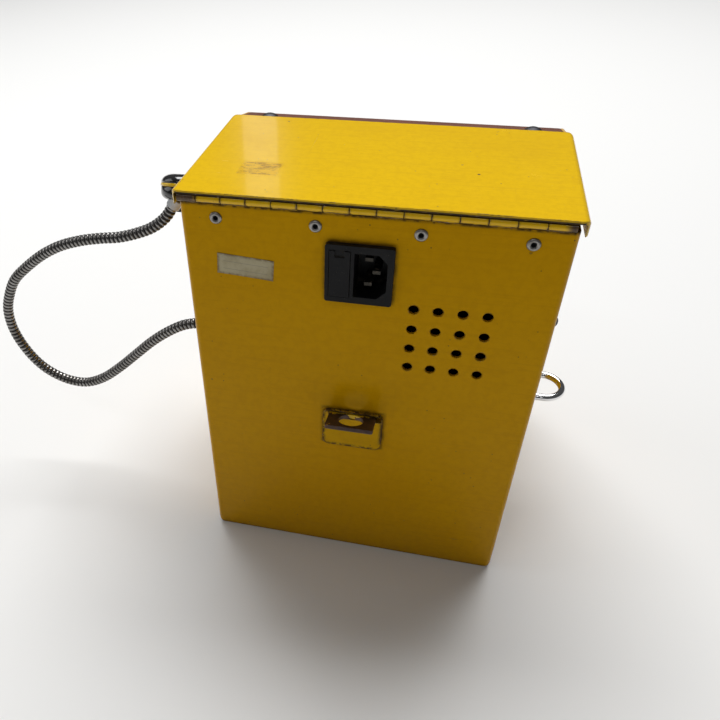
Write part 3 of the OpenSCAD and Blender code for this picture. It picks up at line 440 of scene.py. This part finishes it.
def yellow_paint(name, color=YELLOW, wear=0.5, gloss=0.2, coat=0.0, marks=None):
    """Old enamel: orange peel, clouds, specks, fine scratches and worn edges."""
    p = Paint(name, color, gloss, Specular_IOR_Level=0.3, Specular_Tint=(1.0, 0.72, 0.05, 1.0),
              Coat_Weight=coat, Coat_Roughness=0.05)
    p.soften(0.5 * MM)
    red, green, blue = color
    p.blend(p.ramp(p.noise(9, 5, 0.6), 0.42, 0.72, 0, 0.5), (red * 0.92, green * 0.88, blue))
    p.blend(p.ramp(p.noise(33, 5, 0.65), 0.55, 0.85, 0, 0.4),
            (red * 0.8, green * 0.74, blue), gloss + 0.1)
    # handling film that dulls the gloss
    p.blend(p.ramp(p.noise(24, 6, 0.7), 0.5, 0.8, 0, 0.6), None, gloss + 0.18)
    p.blend(p.ramp(p.noise(260, 4, 0.7), 0.4, 0.65, 0, 0.4), (red * 0.84, green * 0.8, blue))
    # brush lines of the paint, along the panel
    lines = p.noise(1, 4, 0.6, p.stretched((26, 560, 560)))
    p.blend(p.ramp(lines, 0.48, 0.7, 0, 0.4), (red * 0.84, green * 0.8, blue), gloss + 0.12)
    # fine scratches in two directions
    for turn, strength in (((0.3, 0.5, 0.2), 0.5), ((1.2, 0.2, 1.9), 0.35)):
        scratches = p.noise(1, 3, 0.6, p.stretched((900, 14, 900), turn))
        patches = p.ramp(p.noise(30, 2), 0.5, 0.68)
        p.blend(p.both(p.ramp(scratches, 0.69, 0.76, 0, strength), patches), (0.30, 0.16, 0.01), 0.5)
    # dark specks and pits
    specks = p.both(p.ramp(p.cells(210), 0.11, 0.05), p.ramp(p.noise(60, 2), 0.52, 0.62))
    p.blend(p.math("MULTIPLY", specks, 0.85), (0.10, 0.055, 0.015), 0.6)
    pits = p.both(p.ramp(p.cells(75), 0.07, 0.045), p.ramp(p.noise(21, 2), 0.56, 0.62))
    p.blend(pits, (0.06, 0.035, 0.02), 0.7)
    if marks:
        marks(p)
    # painted shade in the corners, from ambient occlusion broken up by noise, and chips along the
    # edges
    corner_shade = p.both(p.corners(5 * MM), p.ramp(p.noise(120, 4, 0.7), 0.35, 0.65, 0.25, 0.9))
    p.blend(corner_shade, (0.07, 0.038, 0.010), 0.6)
    breakup = p.noise(170, 6, 0.7)
    chipped = p.both(p.edges(1.2 * MM), p.ramp(breakup, 0.66 - 0.3 * wear, 0.72 - 0.3 * wear))
    stained = p.both(p.edges(2.2 * MM), p.ramp(breakup, 0.56 - 0.3 * wear, 0.72 - 0.3 * wear, 0, 0.75))
    p.blend(stained, (0.17, 0.085, 0.012), 0.45)
    p.blend(chipped, (0.045, 0.027, 0.022), 0.55)
    bare = p.both(chipped, p.ramp(p.noise(420, 3), 0.54, 0.62))
    p.blend(bare, (0.26, 0.21, 0.18), 0.4, 0.85)
    p.bump(p.noise(420, 3, 0.5), 0.05 * MM, 0.35)
    p.bump(p.noise(11, 2, 0.5), 0.7 * MM, 0.25)
    p.bump(lines, 0.03 * MM, 0.5)
    p.bump(chipped, 0.12 * MM, -0.7)
    return p.done()


def panel_marks(p):
    """Marks of the rear panel: vertical smears and gouges beside the cable anchor, and painted shade
    under the hinge and round the fittings.
    """
    streaks = p.both(p.ramp(p.noise(1, 4, 0.6, p.stretched((260, 1, 9))), 0.6, 0.72, 0, 0.3),
                     p.inside((-95 * MM, 94 * MM, 0), (95 * MM, 96 * MM, 205 * MM), 30 * MM))
    p.blend(streaks, (0.52, 0.27, 0.001), 0.4)
    gouges = p.both(p.ramp(p.noise(1, 3, 0.7, p.stretched((70, 1, 520), (0, 0.5, 0))), 0.67, 0.7),
                    p.inside((-85 * MM, 94 * MM, 20 * MM), (-25 * MM, 96 * MM, 95 * MM), 12 * MM))
    p.blend(gouges, (0.13, 0.07, 0.015), 0.55)
    p.bump(gouges, 0.1 * MM, -0.8)
    # painted shade in a dark band under the hinge, broken up by noise
    under_hinge_shade = p.both(p.inside((-110 * MM, 90 * MM, 245.9 * MM), (110 * MM, 98 * MM, 0.27), 0.7 * MM),
                   p.ramp(p.noise(1, 4, 0.7, p.stretched((170, 1, 120))), 0.38, 0.58, 0.3, 1))
    p.blend(under_hinge_shade, (0.045, 0.028, 0.012), 0.6)
    # painted shade round the feet of the fittings, broken up by noise
    for x, z, half_w, half_h in ((2.8, 215.9, 18.2, 17.2), (2.1, 110, 19, 15)):
        ring = p.inside(((x - half_w) * MM, 94 * MM, (z - half_h) * MM),
                        ((x + half_w) * MM, 96 * MM, (z + half_h) * MM), 1.3 * MM)
        p.blend(p.both(ring, p.ramp(p.noise(150, 5, 0.7), 0.4, 0.62, 0.15, 0.8)),
                (0.12, 0.062, 0.004), 0.5)


def lid_marks(p):
    """Brown adhesive left on the lid in fine streaks, and painted shade along the rear lip."""
    patch = p.inside((50 * MM, 57.5 * MM, 253.6 * MM), (71 * MM, 73 * MM, 256 * MM), 0.8 * MM)
    lines = p.ramp(p.noise(1, 3, 0.8, p.stretched((150, 620, 1))), 0.46, 0.56)
    broken = p.ramp(p.noise(420, 4, 0.75), 0.40, 0.52, 0.2, 1)
    p.blend(p.math("MULTIPLY", patch, 0.3), (0.62, 0.33, 0.012), 0.5)
    p.blend(p.math("MULTIPLY", p.both(patch, lines, broken), 0.95), (0.20, 0.085, 0.015), 0.6)
    # painted shade, near black, along the lower half of the rear lip, as a gap over the hinge
    lip_shade = p.inside((-110 * MM, 97.3 * MM, 251 * MM), (110 * MM, 99 * MM, 253.2 * MM), 0.3 * MM)
    p.blend(p.both(lip_shade, p.ramp(p.noise(1, 3, 0.7, p.stretched((110, 1, 400))), 0.25, 0.45, 0.5, 1)),
            (0.018, 0.012, 0.008), 0.7)


def plate_marks(p):
    """Thick paint broken away along the anchor plate's rim."""
    face = p.inside((-14.2 * MM, 90 * MM, 97.5 * MM), (18.4 * MM, 99 * MM, 122.0 * MM), 1.3 * MM)
    rim = p.math("SUBTRACT", 1.0, face)
    p.blend(p.both(rim, p.ramp(p.noise(190, 6, 0.75), 0.42, 0.48)), (0.045, 0.026, 0.018), 0.6)
    p.blend(p.both(rim, p.ramp(p.noise(330, 4, 0.7), 0.56, 0.62)), (0.85, 0.55, 0.01), 0.3)
    p.bump(p.both(rim, p.noise(190, 6, 0.75)), 0.25 * MM, 0.9)


def hinge_marks(p):
    """Bare rusty steel at both ends of the hinge, and painted shade over the knuckles and on their
    undersides.
    """
    parts = p.add("ShaderNodeSeparateXYZ", {"Vector": p.position}).outputs
    along, height = parts[0], parts[2]
    ends = p.either(p.ramp(along, 83 * MM, 87 * MM), p.ramp(along, -87 * MM, -91 * MM))
    # painted shade, near black, on everything above the knuckles' crowns, in the gap under the lid
    p.blend(p.ramp(height, 251.35 * MM, 251.7 * MM), (0.012, 0.009, 0.006), 0.7)
    rust = p.both(ends, p.ramp(p.noise(150, 5, 0.7), 0.28, 0.42))
    p.blend(rust, (0.085, 0.052, 0.036), 0.6, 0.35)
    p.blend(p.both(ends, p.ramp(p.noise(420, 4, 0.7), 0.5, 0.6)), (0.17, 0.10, 0.06), 0.5, 0.6)
    # painted shade on the faces that look down, broken up by noise
    down = p.add("ShaderNodeSeparateXYZ",
                 {"Vector": p.add("ShaderNodeNewGeometry").outputs["Normal"]}).outputs[2]
    shade_breakup = p.ramp(p.noise(1, 5, 0.7, p.stretched((140, 500, 500))), 0.36, 0.5)
    underside_shade = p.both(p.ramp(down, -0.35, -0.7), shade_breakup)
    p.blend(underside_shade, (0.05, 0.032, 0.02), 0.6)


def enamel(name, color, wear=0.45):
    """Red-brown enamel of the console, with dust and worn edges."""
    p = Paint(name, color, 0.5, Specular_IOR_Level=0.2)
    p.soften(0.4 * MM)
    p.blend(p.ramp(p.noise(26, 5, 0.65), 0.4, 0.75, 0, 0.6), [c * 1.5 for c in color], 0.45)
    p.blend(p.ramp(p.noise(140, 5, 0.7), 0.6, 0.75, 0, 0.5), [c * 0.5 for c in color], 0.6)
    scratches = p.noise(1, 3, 0.6, p.stretched((800, 20, 700), (0.2, 0.7, 0.1)))
    p.blend(p.ramp(scratches, 0.68, 0.74, 0, 0.5), [c * 2.2 + 0.02 for c in color])
    breakup = p.noise(190, 6, 0.7)
    chipped = p.both(p.edges(1.3 * MM), p.ramp(breakup, 0.66 - 0.3 * wear, 0.72 - 0.3 * wear))
    p.blend(chipped, (0.035, 0.03, 0.03), 0.5, 0.2)
    p.blend(p.both(chipped, p.ramp(p.noise(300, 3), 0.55, 0.62)), (0.40, 0.37, 0.34), 0.4, 0.8)
    p.blend(p.ramp(p.noise(95, 5, 0.7), 0.63, 0.68, 0, 0.8), (0.02, 0.016, 0.015), 0.6)
    p.bump(p.noise(480, 3, 0.5), 0.05 * MM, 0.4)
    return p.done()


def plastic(name, color, roughness, grain=0.0, coat=0.0, wear=0.4, shine=0.5):
    """Moulded plastic with dust, rubbed edges and, if asked, a fine moulded grain."""
    p = Paint(name, color, roughness, Specular_IOR_Level=shine, Coat_Weight=coat,
              Coat_Roughness=0.08)
    p.soften(0.35 * MM)
    pale = [min(1, c * 1.3 + 0.03) for c in color]
    p.blend(p.ramp(p.noise(38, 5, 0.65), 0.45, 0.8, 0, 0.35), pale, min(1, roughness + 0.15))
    dust = p.ramp(p.cells(700), 0.09, 0.04, 0, 0.35)
    p.blend(dust, (0.45, 0.42, 0.36), 0.7)
    lines = p.noise(1, 3, 0.6, p.stretched((1100, 20, 900), (0.4, 0.9, 0.3)))
    p.blend(p.ramp(lines, 0.69, 0.75, 0, 0.4), pale, min(1, roughness + 0.25))
    p.blend(p.both(p.edges(0.9 * MM), p.ramp(p.noise(260, 5, 0.7), 0.42, 0.62, 0, wear)), pale,
            min(1, roughness + 0.12))
    p.blend(p.both(p.corners(3 * MM), p.ramp(p.noise(200, 4), 0.4, 0.6, 0, 0.5)),
            (0.12, 0.10, 0.07), 0.8)
    if grain:
        p.bump(p.cells(1500), 0.05 * MM, grain)
    else:
        p.bump(p.noise(300, 3), 0.03 * MM, 0.2)
    return p.done()


def metal(name, color, roughness, brushed=None, tarnish=(0.2, 0.16, 0.12), age=0.35):
    """Bare metal: brushing or polish, smears, specks of tarnish, and painted shade in the corners."""
    p = Paint(name, color, roughness, 1.0)
    p.soften(0.3 * MM)
    p.blend(p.ramp(p.noise(45, 5, 0.65), 0.4, 0.75, 0, 0.5), [c * 0.72 for c in color],
            min(1, roughness + 0.16))
    if brushed:
        lines = p.noise(1, 4, 0.65, p.stretched(brushed))
        p.blend(p.ramp(lines, 0.4, 0.7, 0, 0.6), [c * 0.75 for c in color], min(1, roughness + 0.2))
        p.bump(lines, 0.03 * MM, 0.5)
    specks = p.ramp(p.noise(310, 6, 0.75), 0.66 - 0.14 * age, 0.74 - 0.14 * age,
                    0, min(1, age * 1.6))
    p.blend(specks, tarnish, 0.65, 0.4)
    # painted shade in the corners, in a dark tarnish tone
    p.blend(p.math("MULTIPLY", p.corners(2.5 * MM), min(1, 0.5 + age)),
            [c * 0.35 for c in tarnish], 0.7, 0.3)
    p.bump(p.noise(500, 3), 0.02 * MM, 0.3)
    return p.done()


def rivet_metal(name):
    """Dull rivet heads: bright on the crown, with painted shade, near black, in the hollow."""
    p = Paint(name, (0.36, 0.35, 0.33), 0.36, 1.0)
    p.blend(p.ramp(p.noise(210, 5, 0.7), 0.45, 0.65, 0, 0.7), (0.20, 0.18, 0.16), 0.5)
    p.blend(p.ramp(p.noise(700, 4, 0.7), 0.6, 0.7, 0, 0.6), (0.10, 0.08, 0.07), 0.6, 0.5)
    hollow_shade = p.add("ShaderNodeAttribute", attribute_name="hollow_shade").outputs["Fac"]
    # painted shade, near black, in the hollow of the head
    p.blend(p.ramp(hollow_shade, 0.15, 0.95), (0.004, 0.004, 0.004), 0.8, 0.0)
    p.bump(p.noise(500, 4), 0.05 * MM, 0.5)
    return p.done()


def rusty_tongue(name):
    """Bare dark steel that keeps flakes of yellow paint, most of them near its root."""
    p = Paint(name, (0.085, 0.058, 0.052), 0.42, 0.75)
    p.soften(0.35 * MM)
    p.blend(p.ramp(p.noise(90, 6, 0.7), 0.45, 0.65, 0, 0.9), (0.16, 0.085, 0.05), 0.62, 0.25)
    p.blend(p.ramp(p.noise(420, 5, 0.75), 0.56, 0.66, 0, 0.8), (0.045, 0.03, 0.03), 0.5)
    p.blend(p.both(p.edges(0.8 * MM), p.ramp(p.noise(260, 3), 0.42, 0.58)),
            (0.24, 0.20, 0.19), 0.38, 1.0)
    reach = p.add("ShaderNodeSeparateXYZ", {"Vector": p.position}).outputs[1]
    near = p.ramp(reach, 101.5 * MM, 97 * MM)
    flakes = p.ramp(p.math("ADD", p.math("MULTIPLY", near, 0.2), p.noise(160, 6, 0.75)), 0.66, 0.69)
    p.blend(flakes, YELLOW, 0.3, 0.0)
    p.bump(flakes, 0.12 * MM, 0.9)
    p.bump(p.noise(350, 5, 0.7), 0.08 * MM, 0.5)
    return p.done()


def hose_steel(name):
    """Bright interlocked hose, with painted shade, near black, in its grooves."""
    p = Paint(name, (0.30, 0.29, 0.28), 0.2, 1.0)
    p.blend(p.ramp(p.noise(60, 5, 0.65), 0.38, 0.66, 0, 0.8), (0.17, 0.16, 0.145), 0.28)
    p.blend(p.ramp(p.noise(600, 4, 0.7), 0.62, 0.72, 0, 0.6), (0.2, 0.16, 0.13), 0.6)
    groove_shade = p.add("ShaderNodeAttribute", attribute_name="groove_shade").outputs["Fac"]
    p.blend(p.ramp(groove_shade, 0.10, 0.42), (0.006, 0.005, 0.005), 0.6, 0.0)
    p.bump(p.noise(900, 3), 0.02 * MM, 0.3)
    return p.done()


CONSOLE_TURN = (math.radians(-68.2), 0, 0)  # lays a pattern on the console's slant


def circuit_board(name):
    """Green solder mask with traces and pads, and dust in its corners."""
    p = Paint(name, (0.008, 0.085, 0.03), 0.3, Coat_Weight=0.3)
    slanted = p.stretched((1, 1, 1), CONSOLE_TURN)
    p.blend(p.ramp(p.cells(260, slanted, "F2"), 0.32, 0.36, 0, 0.5), (0.015, 0.16, 0.06))
    pads = p.ramp(p.cells(390, slanted, randomness=0.1), 0.2, 0.15)
    p.blend(p.both(pads, p.ramp(p.noise(50, 2, 0.5, slanted), 0.5, 0.54)), (0.6, 0.6, 0.58), 0.3, 1.0)
    p.blend(p.both(p.corners(3 * MM), p.noise(90)), (0.06, 0.07, 0.05), 0.8)
    return p.done()


def paper(name):
    """A wound roll: fine edges of the layers on its ends."""
    p = Paint(name, (0.80, 0.78, 0.71), 0.75)
    to_axis = (0, -15 * MM, -75 * MM)
    middle = p.add("ShaderNodeVectorMath", {0: p.position, 1: to_axis}, operation="ADD")
    flat = p.add("ShaderNodeVectorMath", {0: middle.outputs[0], 1: (0, 1, 1)}, operation="MULTIPLY")
    radius = p.add("ShaderNodeVectorMath", {0: flat.outputs[0]}, operation="LENGTH").outputs["Value"]
    layers = p.math("SINE", p.math("MULTIPLY", radius, 12000.0))
    p.blend(p.ramp(layers, 0.3, 1, 0, 0.35), (0.55, 0.52, 0.45))
    p.blend(p.ramp(p.noise(40, 5, 0.6), 0.5, 0.75, 0, 0.4), (0.66, 0.60, 0.48))
    p.bump(layers, 0.03 * MM, 0.5)
    return p.done()


def card(name):
    """Grey-brown card with fibres."""
    p = Paint(name, (0.30, 0.20, 0.11), 0.85)
    p.blend(p.ramp(p.noise(1, 5, 0.7, p.stretched((900, 90, 90))), 0.45, 0.65, 0, 0.7),
            (0.19, 0.12, 0.065))
    p.bump(p.noise(700, 4), 0.05 * MM, 0.5)
    return p.done()


def label_tape(name):
    """Aged plastic tape, yellowed and dirty at its rim, with two plain printed rules."""
    p = Paint(name, (0.50, 0.44, 0.265), 0.38)
    p.blend(p.ramp(p.noise(110, 5, 0.7), 0.4, 0.7, 0, 0.7), (0.36, 0.29, 0.15), 0.5)
    face = p.inside((-14.2 * MM, -5.0 * MM, None), (14.2 * MM, 5.0 * MM, None), 0.9 * MM)
    rim = p.math("SUBTRACT", 1.0, face)
    p.blend(p.both(p.ramp(p.noise(300, 5, 0.7), 0.35, 0.6, 0.2, 1), rim), (0.20, 0.13, 0.05), 0.6)
    for height in (1.7, -2.6):
        rule = p.inside((-12 * MM, (height - 0.12) * MM, None),
                        (12 * MM, (height + 0.12) * MM, None), 0.1 * MM)
        p.blend(p.math("MULTIPLY", rule, 0.55), (0.12, 0.10, 0.12))
    p.bump(p.noise(160, 4), 0.1 * MM, 0.4)
    return p.done()


def display_glass(name):
    """Dark display under a clear window, with fine printed lines of the matrix."""
    p = Paint(name, (0.035, 0.05, 0.03), 0.08, Coat_Weight=0.8, Coat_Roughness=0.03)
    slanted = p.stretched((1, 1, 1), CONSOLE_TURN)
    dots = p.ramp(p.cells(620, slanted, randomness=0.0), 0.36, 0.44, 0, 0.5)
    p.blend(dots, (0.06, 0.09, 0.045))
    p.blend(p.ramp(p.noise(26, 5, 0.7), 0.5, 0.8, 0, 0.4), (0.09, 0.09, 0.075), 0.3)
    return p.done()


def rubber(name):
    """Dull black rubber with a pale bloom."""
    p = Paint(name, (0.022, 0.022, 0.023), 0.75)
    p.blend(p.ramp(p.noise(70, 5, 0.7), 0.45, 0.75, 0, 0.6), (0.05, 0.048, 0.045), 0.9)
    p.bump(p.noise(900, 3), 0.06 * MM, 0.5)
    return p.done()


MATERIALS = {
    # the case in the darker copy of the yellow: painted shade
    "case": yellow_paint("yellow_case_shaded", SHADED_YELLOW, 0.5, marks=panel_marks),
    "lid": yellow_paint("yellow_lid", wear=0.45, coat=0.3, marks=lid_marks),
    # the hinge knuckles in a brighter, more orange copy of the lid's yellow: painted light
    "knuckle": yellow_paint("yellow_knuckle", (0.92, 0.56, 0.008), 0.8, coat=0.6, marks=hinge_marks),
    # the anchor plate in a darker copy of the yellow, like the case: painted shade
    "small_yellow_shaded": yellow_paint("yellow_small_shaded", (0.66, 0.36, 0.002), 0.9, marks=plate_marks),
    "trim": plastic("yellow_trim", YELLOW, 0.18, coat=0.4, wear=0.2),
    "fascia": enamel("red_brown_enamel", (0.12, 0.038, 0.022)),
    "black_gloss": plastic("black_gloss", (0.010, 0.010, 0.011), 0.12, coat=0.5, wear=0.25),
    "black_matte": plastic("black_matte", (0.006, 0.006, 0.007), 0.36, grain=0.3, shine=0.15),
    "black_part": plastic("black_part", (0.03, 0.03, 0.033), 0.5, grain=0.2),
    "dark_screw": metal("dark_screw", (0.045, 0.045, 0.05), 0.45, age=0.3),
    "zinc": metal("zinc_sheet", (0.60, 0.61, 0.62), 0.32, brushed=(40, 900, 900)),
    "zinc_plain": metal("zinc_plain", (0.62, 0.63, 0.64), 0.3),
    "rivet": rivet_metal("rivet_steel"),
    "tongue": rusty_tongue("worn_tongue"),
    "pin": metal("worn_pin", (0.22, 0.17, 0.14), 0.45, age=0.8),
    "chrome": metal("bright_chrome", (0.83, 0.83, 0.84), 0.06, age=0.12),
    "hose": hose_steel("hose_steel"),
    "can": metal("pressed_can", (0.66, 0.67, 0.68), 0.36, brushed=(900, 30, 900)),
    "brass": metal("brass", (0.62, 0.42, 0.14), 0.28, tarnish=(0.16, 0.09, 0.03)),
    # the inlet pins in near black steel: painted shade of the deep socket
    "blade": metal("inlet_blade_shaded", (0.065, 0.06, 0.052), 0.5, age=0.9),
    "board": circuit_board("circuit_board"),
    "window": display_glass("display_glass"),
    "green": plastic("green_button", (0.03, 0.20, 0.06), 0.2, coat=0.4),
    "red": plastic("red_button", (0.33, 0.014, 0.010), 0.2, coat=0.4),
    "white": plastic("white_nylon", (0.72, 0.70, 0.62), 0.45),
    "light_grey": plastic("light_grey", (0.58, 0.60, 0.62), 0.3, coat=0.2),
    "rubber": rubber("platen_rubber"),
    "paper": paper("ticket_paper"),
    "card": card("grey_card"),
    "label": label_tape("label_tape"),
}

FINISH = {
    "case": ["case_shell", "front_panel", "cash_drawer"],
    "lid": ["lid_cover"],
    "knuckle": ["case_hinge_leaf", "lid_hinge_leaf"],
    "small_yellow_shaded": ["anchor_plate"],
    "fascia": ["console_fascia"],
    "black_gloss": ["button_bezels", "ticket_bezel"],
    "black_matte": ["power_inlet", "fuse_drawer", "handset_cradle", "handset_caps"],
    "black_part": ["display_module", "coin_acceptor", "return_cup", "print_head"],
    "dark_screw": ["fascia_screws", "case_screws"],
    "zinc": ["drawer_guide", "roll_bracket", "printer_frame", "reject_chute", "coin_slot_plate"],
    "zinc_plain": ["lid_catch", "return_flap", "roll_spindle", "cord_gland"],
    "rivet": ["hinge_rivets"],
    "tongue": ["anchor_tongue"],
    "pin": ["hinge_pin"],
    "chrome": ["drawer_pull", "drawer_lock_cylinder", "lid_lock_cylinder", "lid_lock_housing"],
    "can": ["power_supply", "stepper_motor"],
    "brass": ["motor_pinion"],
    "blade": ["inlet_pins"],
    "board": ["control_board"],
    "window": ["display_window"],
    "green": ["select_button_1", "select_button_2", "select_button_3"],
    "red": ["coin_return_button"],
    "white": ["hook_plunger", "platen_gear"],
    "light_grey": ["handset_ferrule"],
    "rubber": ["platen_roller"],
    "paper": ["ticket_roll"],
    "card": ["roll_core"],
}


def paint(piece, key):
    """Gives a piece one of the materials in place of its own."""
    piece.data.materials.clear()
    piece.data.materials.append(MATERIALS[key])


for key, names in FINISH.items():
    for name in names:
        paint(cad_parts[name], key)
paint(cord, "hose")
paint(tape, "label")
for piece in rivets:
    paint(piece, "rivet")
for piece in handset_pieces:
    paint(piece, "trim" if piece is trim else "black_gloss")


# ---------- floor, light ----------

def stage_floor(reach=8, drop=0.2 * MM):
    """A wide pale floor just under the feet."""
    corners = [(-reach, -reach, -drop), (reach, -reach, -drop),
               (reach, reach, -drop), (-reach, reach, -drop)]
    floor = new_object("floor", corners, [(0, 1, 2, 3)], False)
    p = Paint("pale_floor", (0.82, 0.82, 0.81), 0.7)
    floor.data.materials.append(p.done())


def area_light(name, place, target, size, power):
    """A white panel of light that faces its target."""
    light = bpy.data.lights.new(name, "AREA")
    light.shape = "RECTANGLE"
    light.size, light.size_y = size
    light.energy = power
    lamp = bpy.data.objects.new(name, light)
    way = Vector(target) - Vector(place)
    lamp.matrix_world = Matrix.Translation(place) @ way.to_track_quat("-Z", "Y").to_matrix().to_4x4()
    bpy.context.scene.collection.objects.link(lamp)


stage_floor()
area_light("overhead", (0.2, -1.3, 2.7), (0, 0, 0.1), (2.6, 1.5), 107)
area_light("left_soft", (1.5, 0.0, 0.9), (0, 0, 0.15), (1.0, 1.0), 4)
area_light("window_glint", (0.67, -2.1, 1.15), (0.05, 0, 0.25), (0.13, 0.45), 0.2)
area_light("rear_strip", (0.2, 0.9, 1.3), (0, 0.1, 0.25), (1.2, 0.06), 1.6)
world = bpy.data.worlds.new("studio")
world.use_nodes = True
room = world.node_tree
background = room.nodes["Background"]
background.inputs["Color"].default_value = (1, 1, 1, 1)
# the room lights the machine weakly, but shows pale behind it
ROOM_LIGHT, ROOM_SEEN = 0.07, 0.85
seen = room.nodes.new("ShaderNodeLightPath").outputs["Is Camera Ray"]
strength = room.nodes.new("ShaderNodeMapRange")
strength.inputs["To Min"].default_value = ROOM_LIGHT
strength.inputs["To Max"].default_value = ROOM_SEEN
room.links.new(seen, strength.inputs["Value"])
room.links.new(strength.outputs["Result"], background.inputs["Strength"])
bpy.context.scene.world = world
bpy.context.scene.view_settings.view_transform = "Standard"
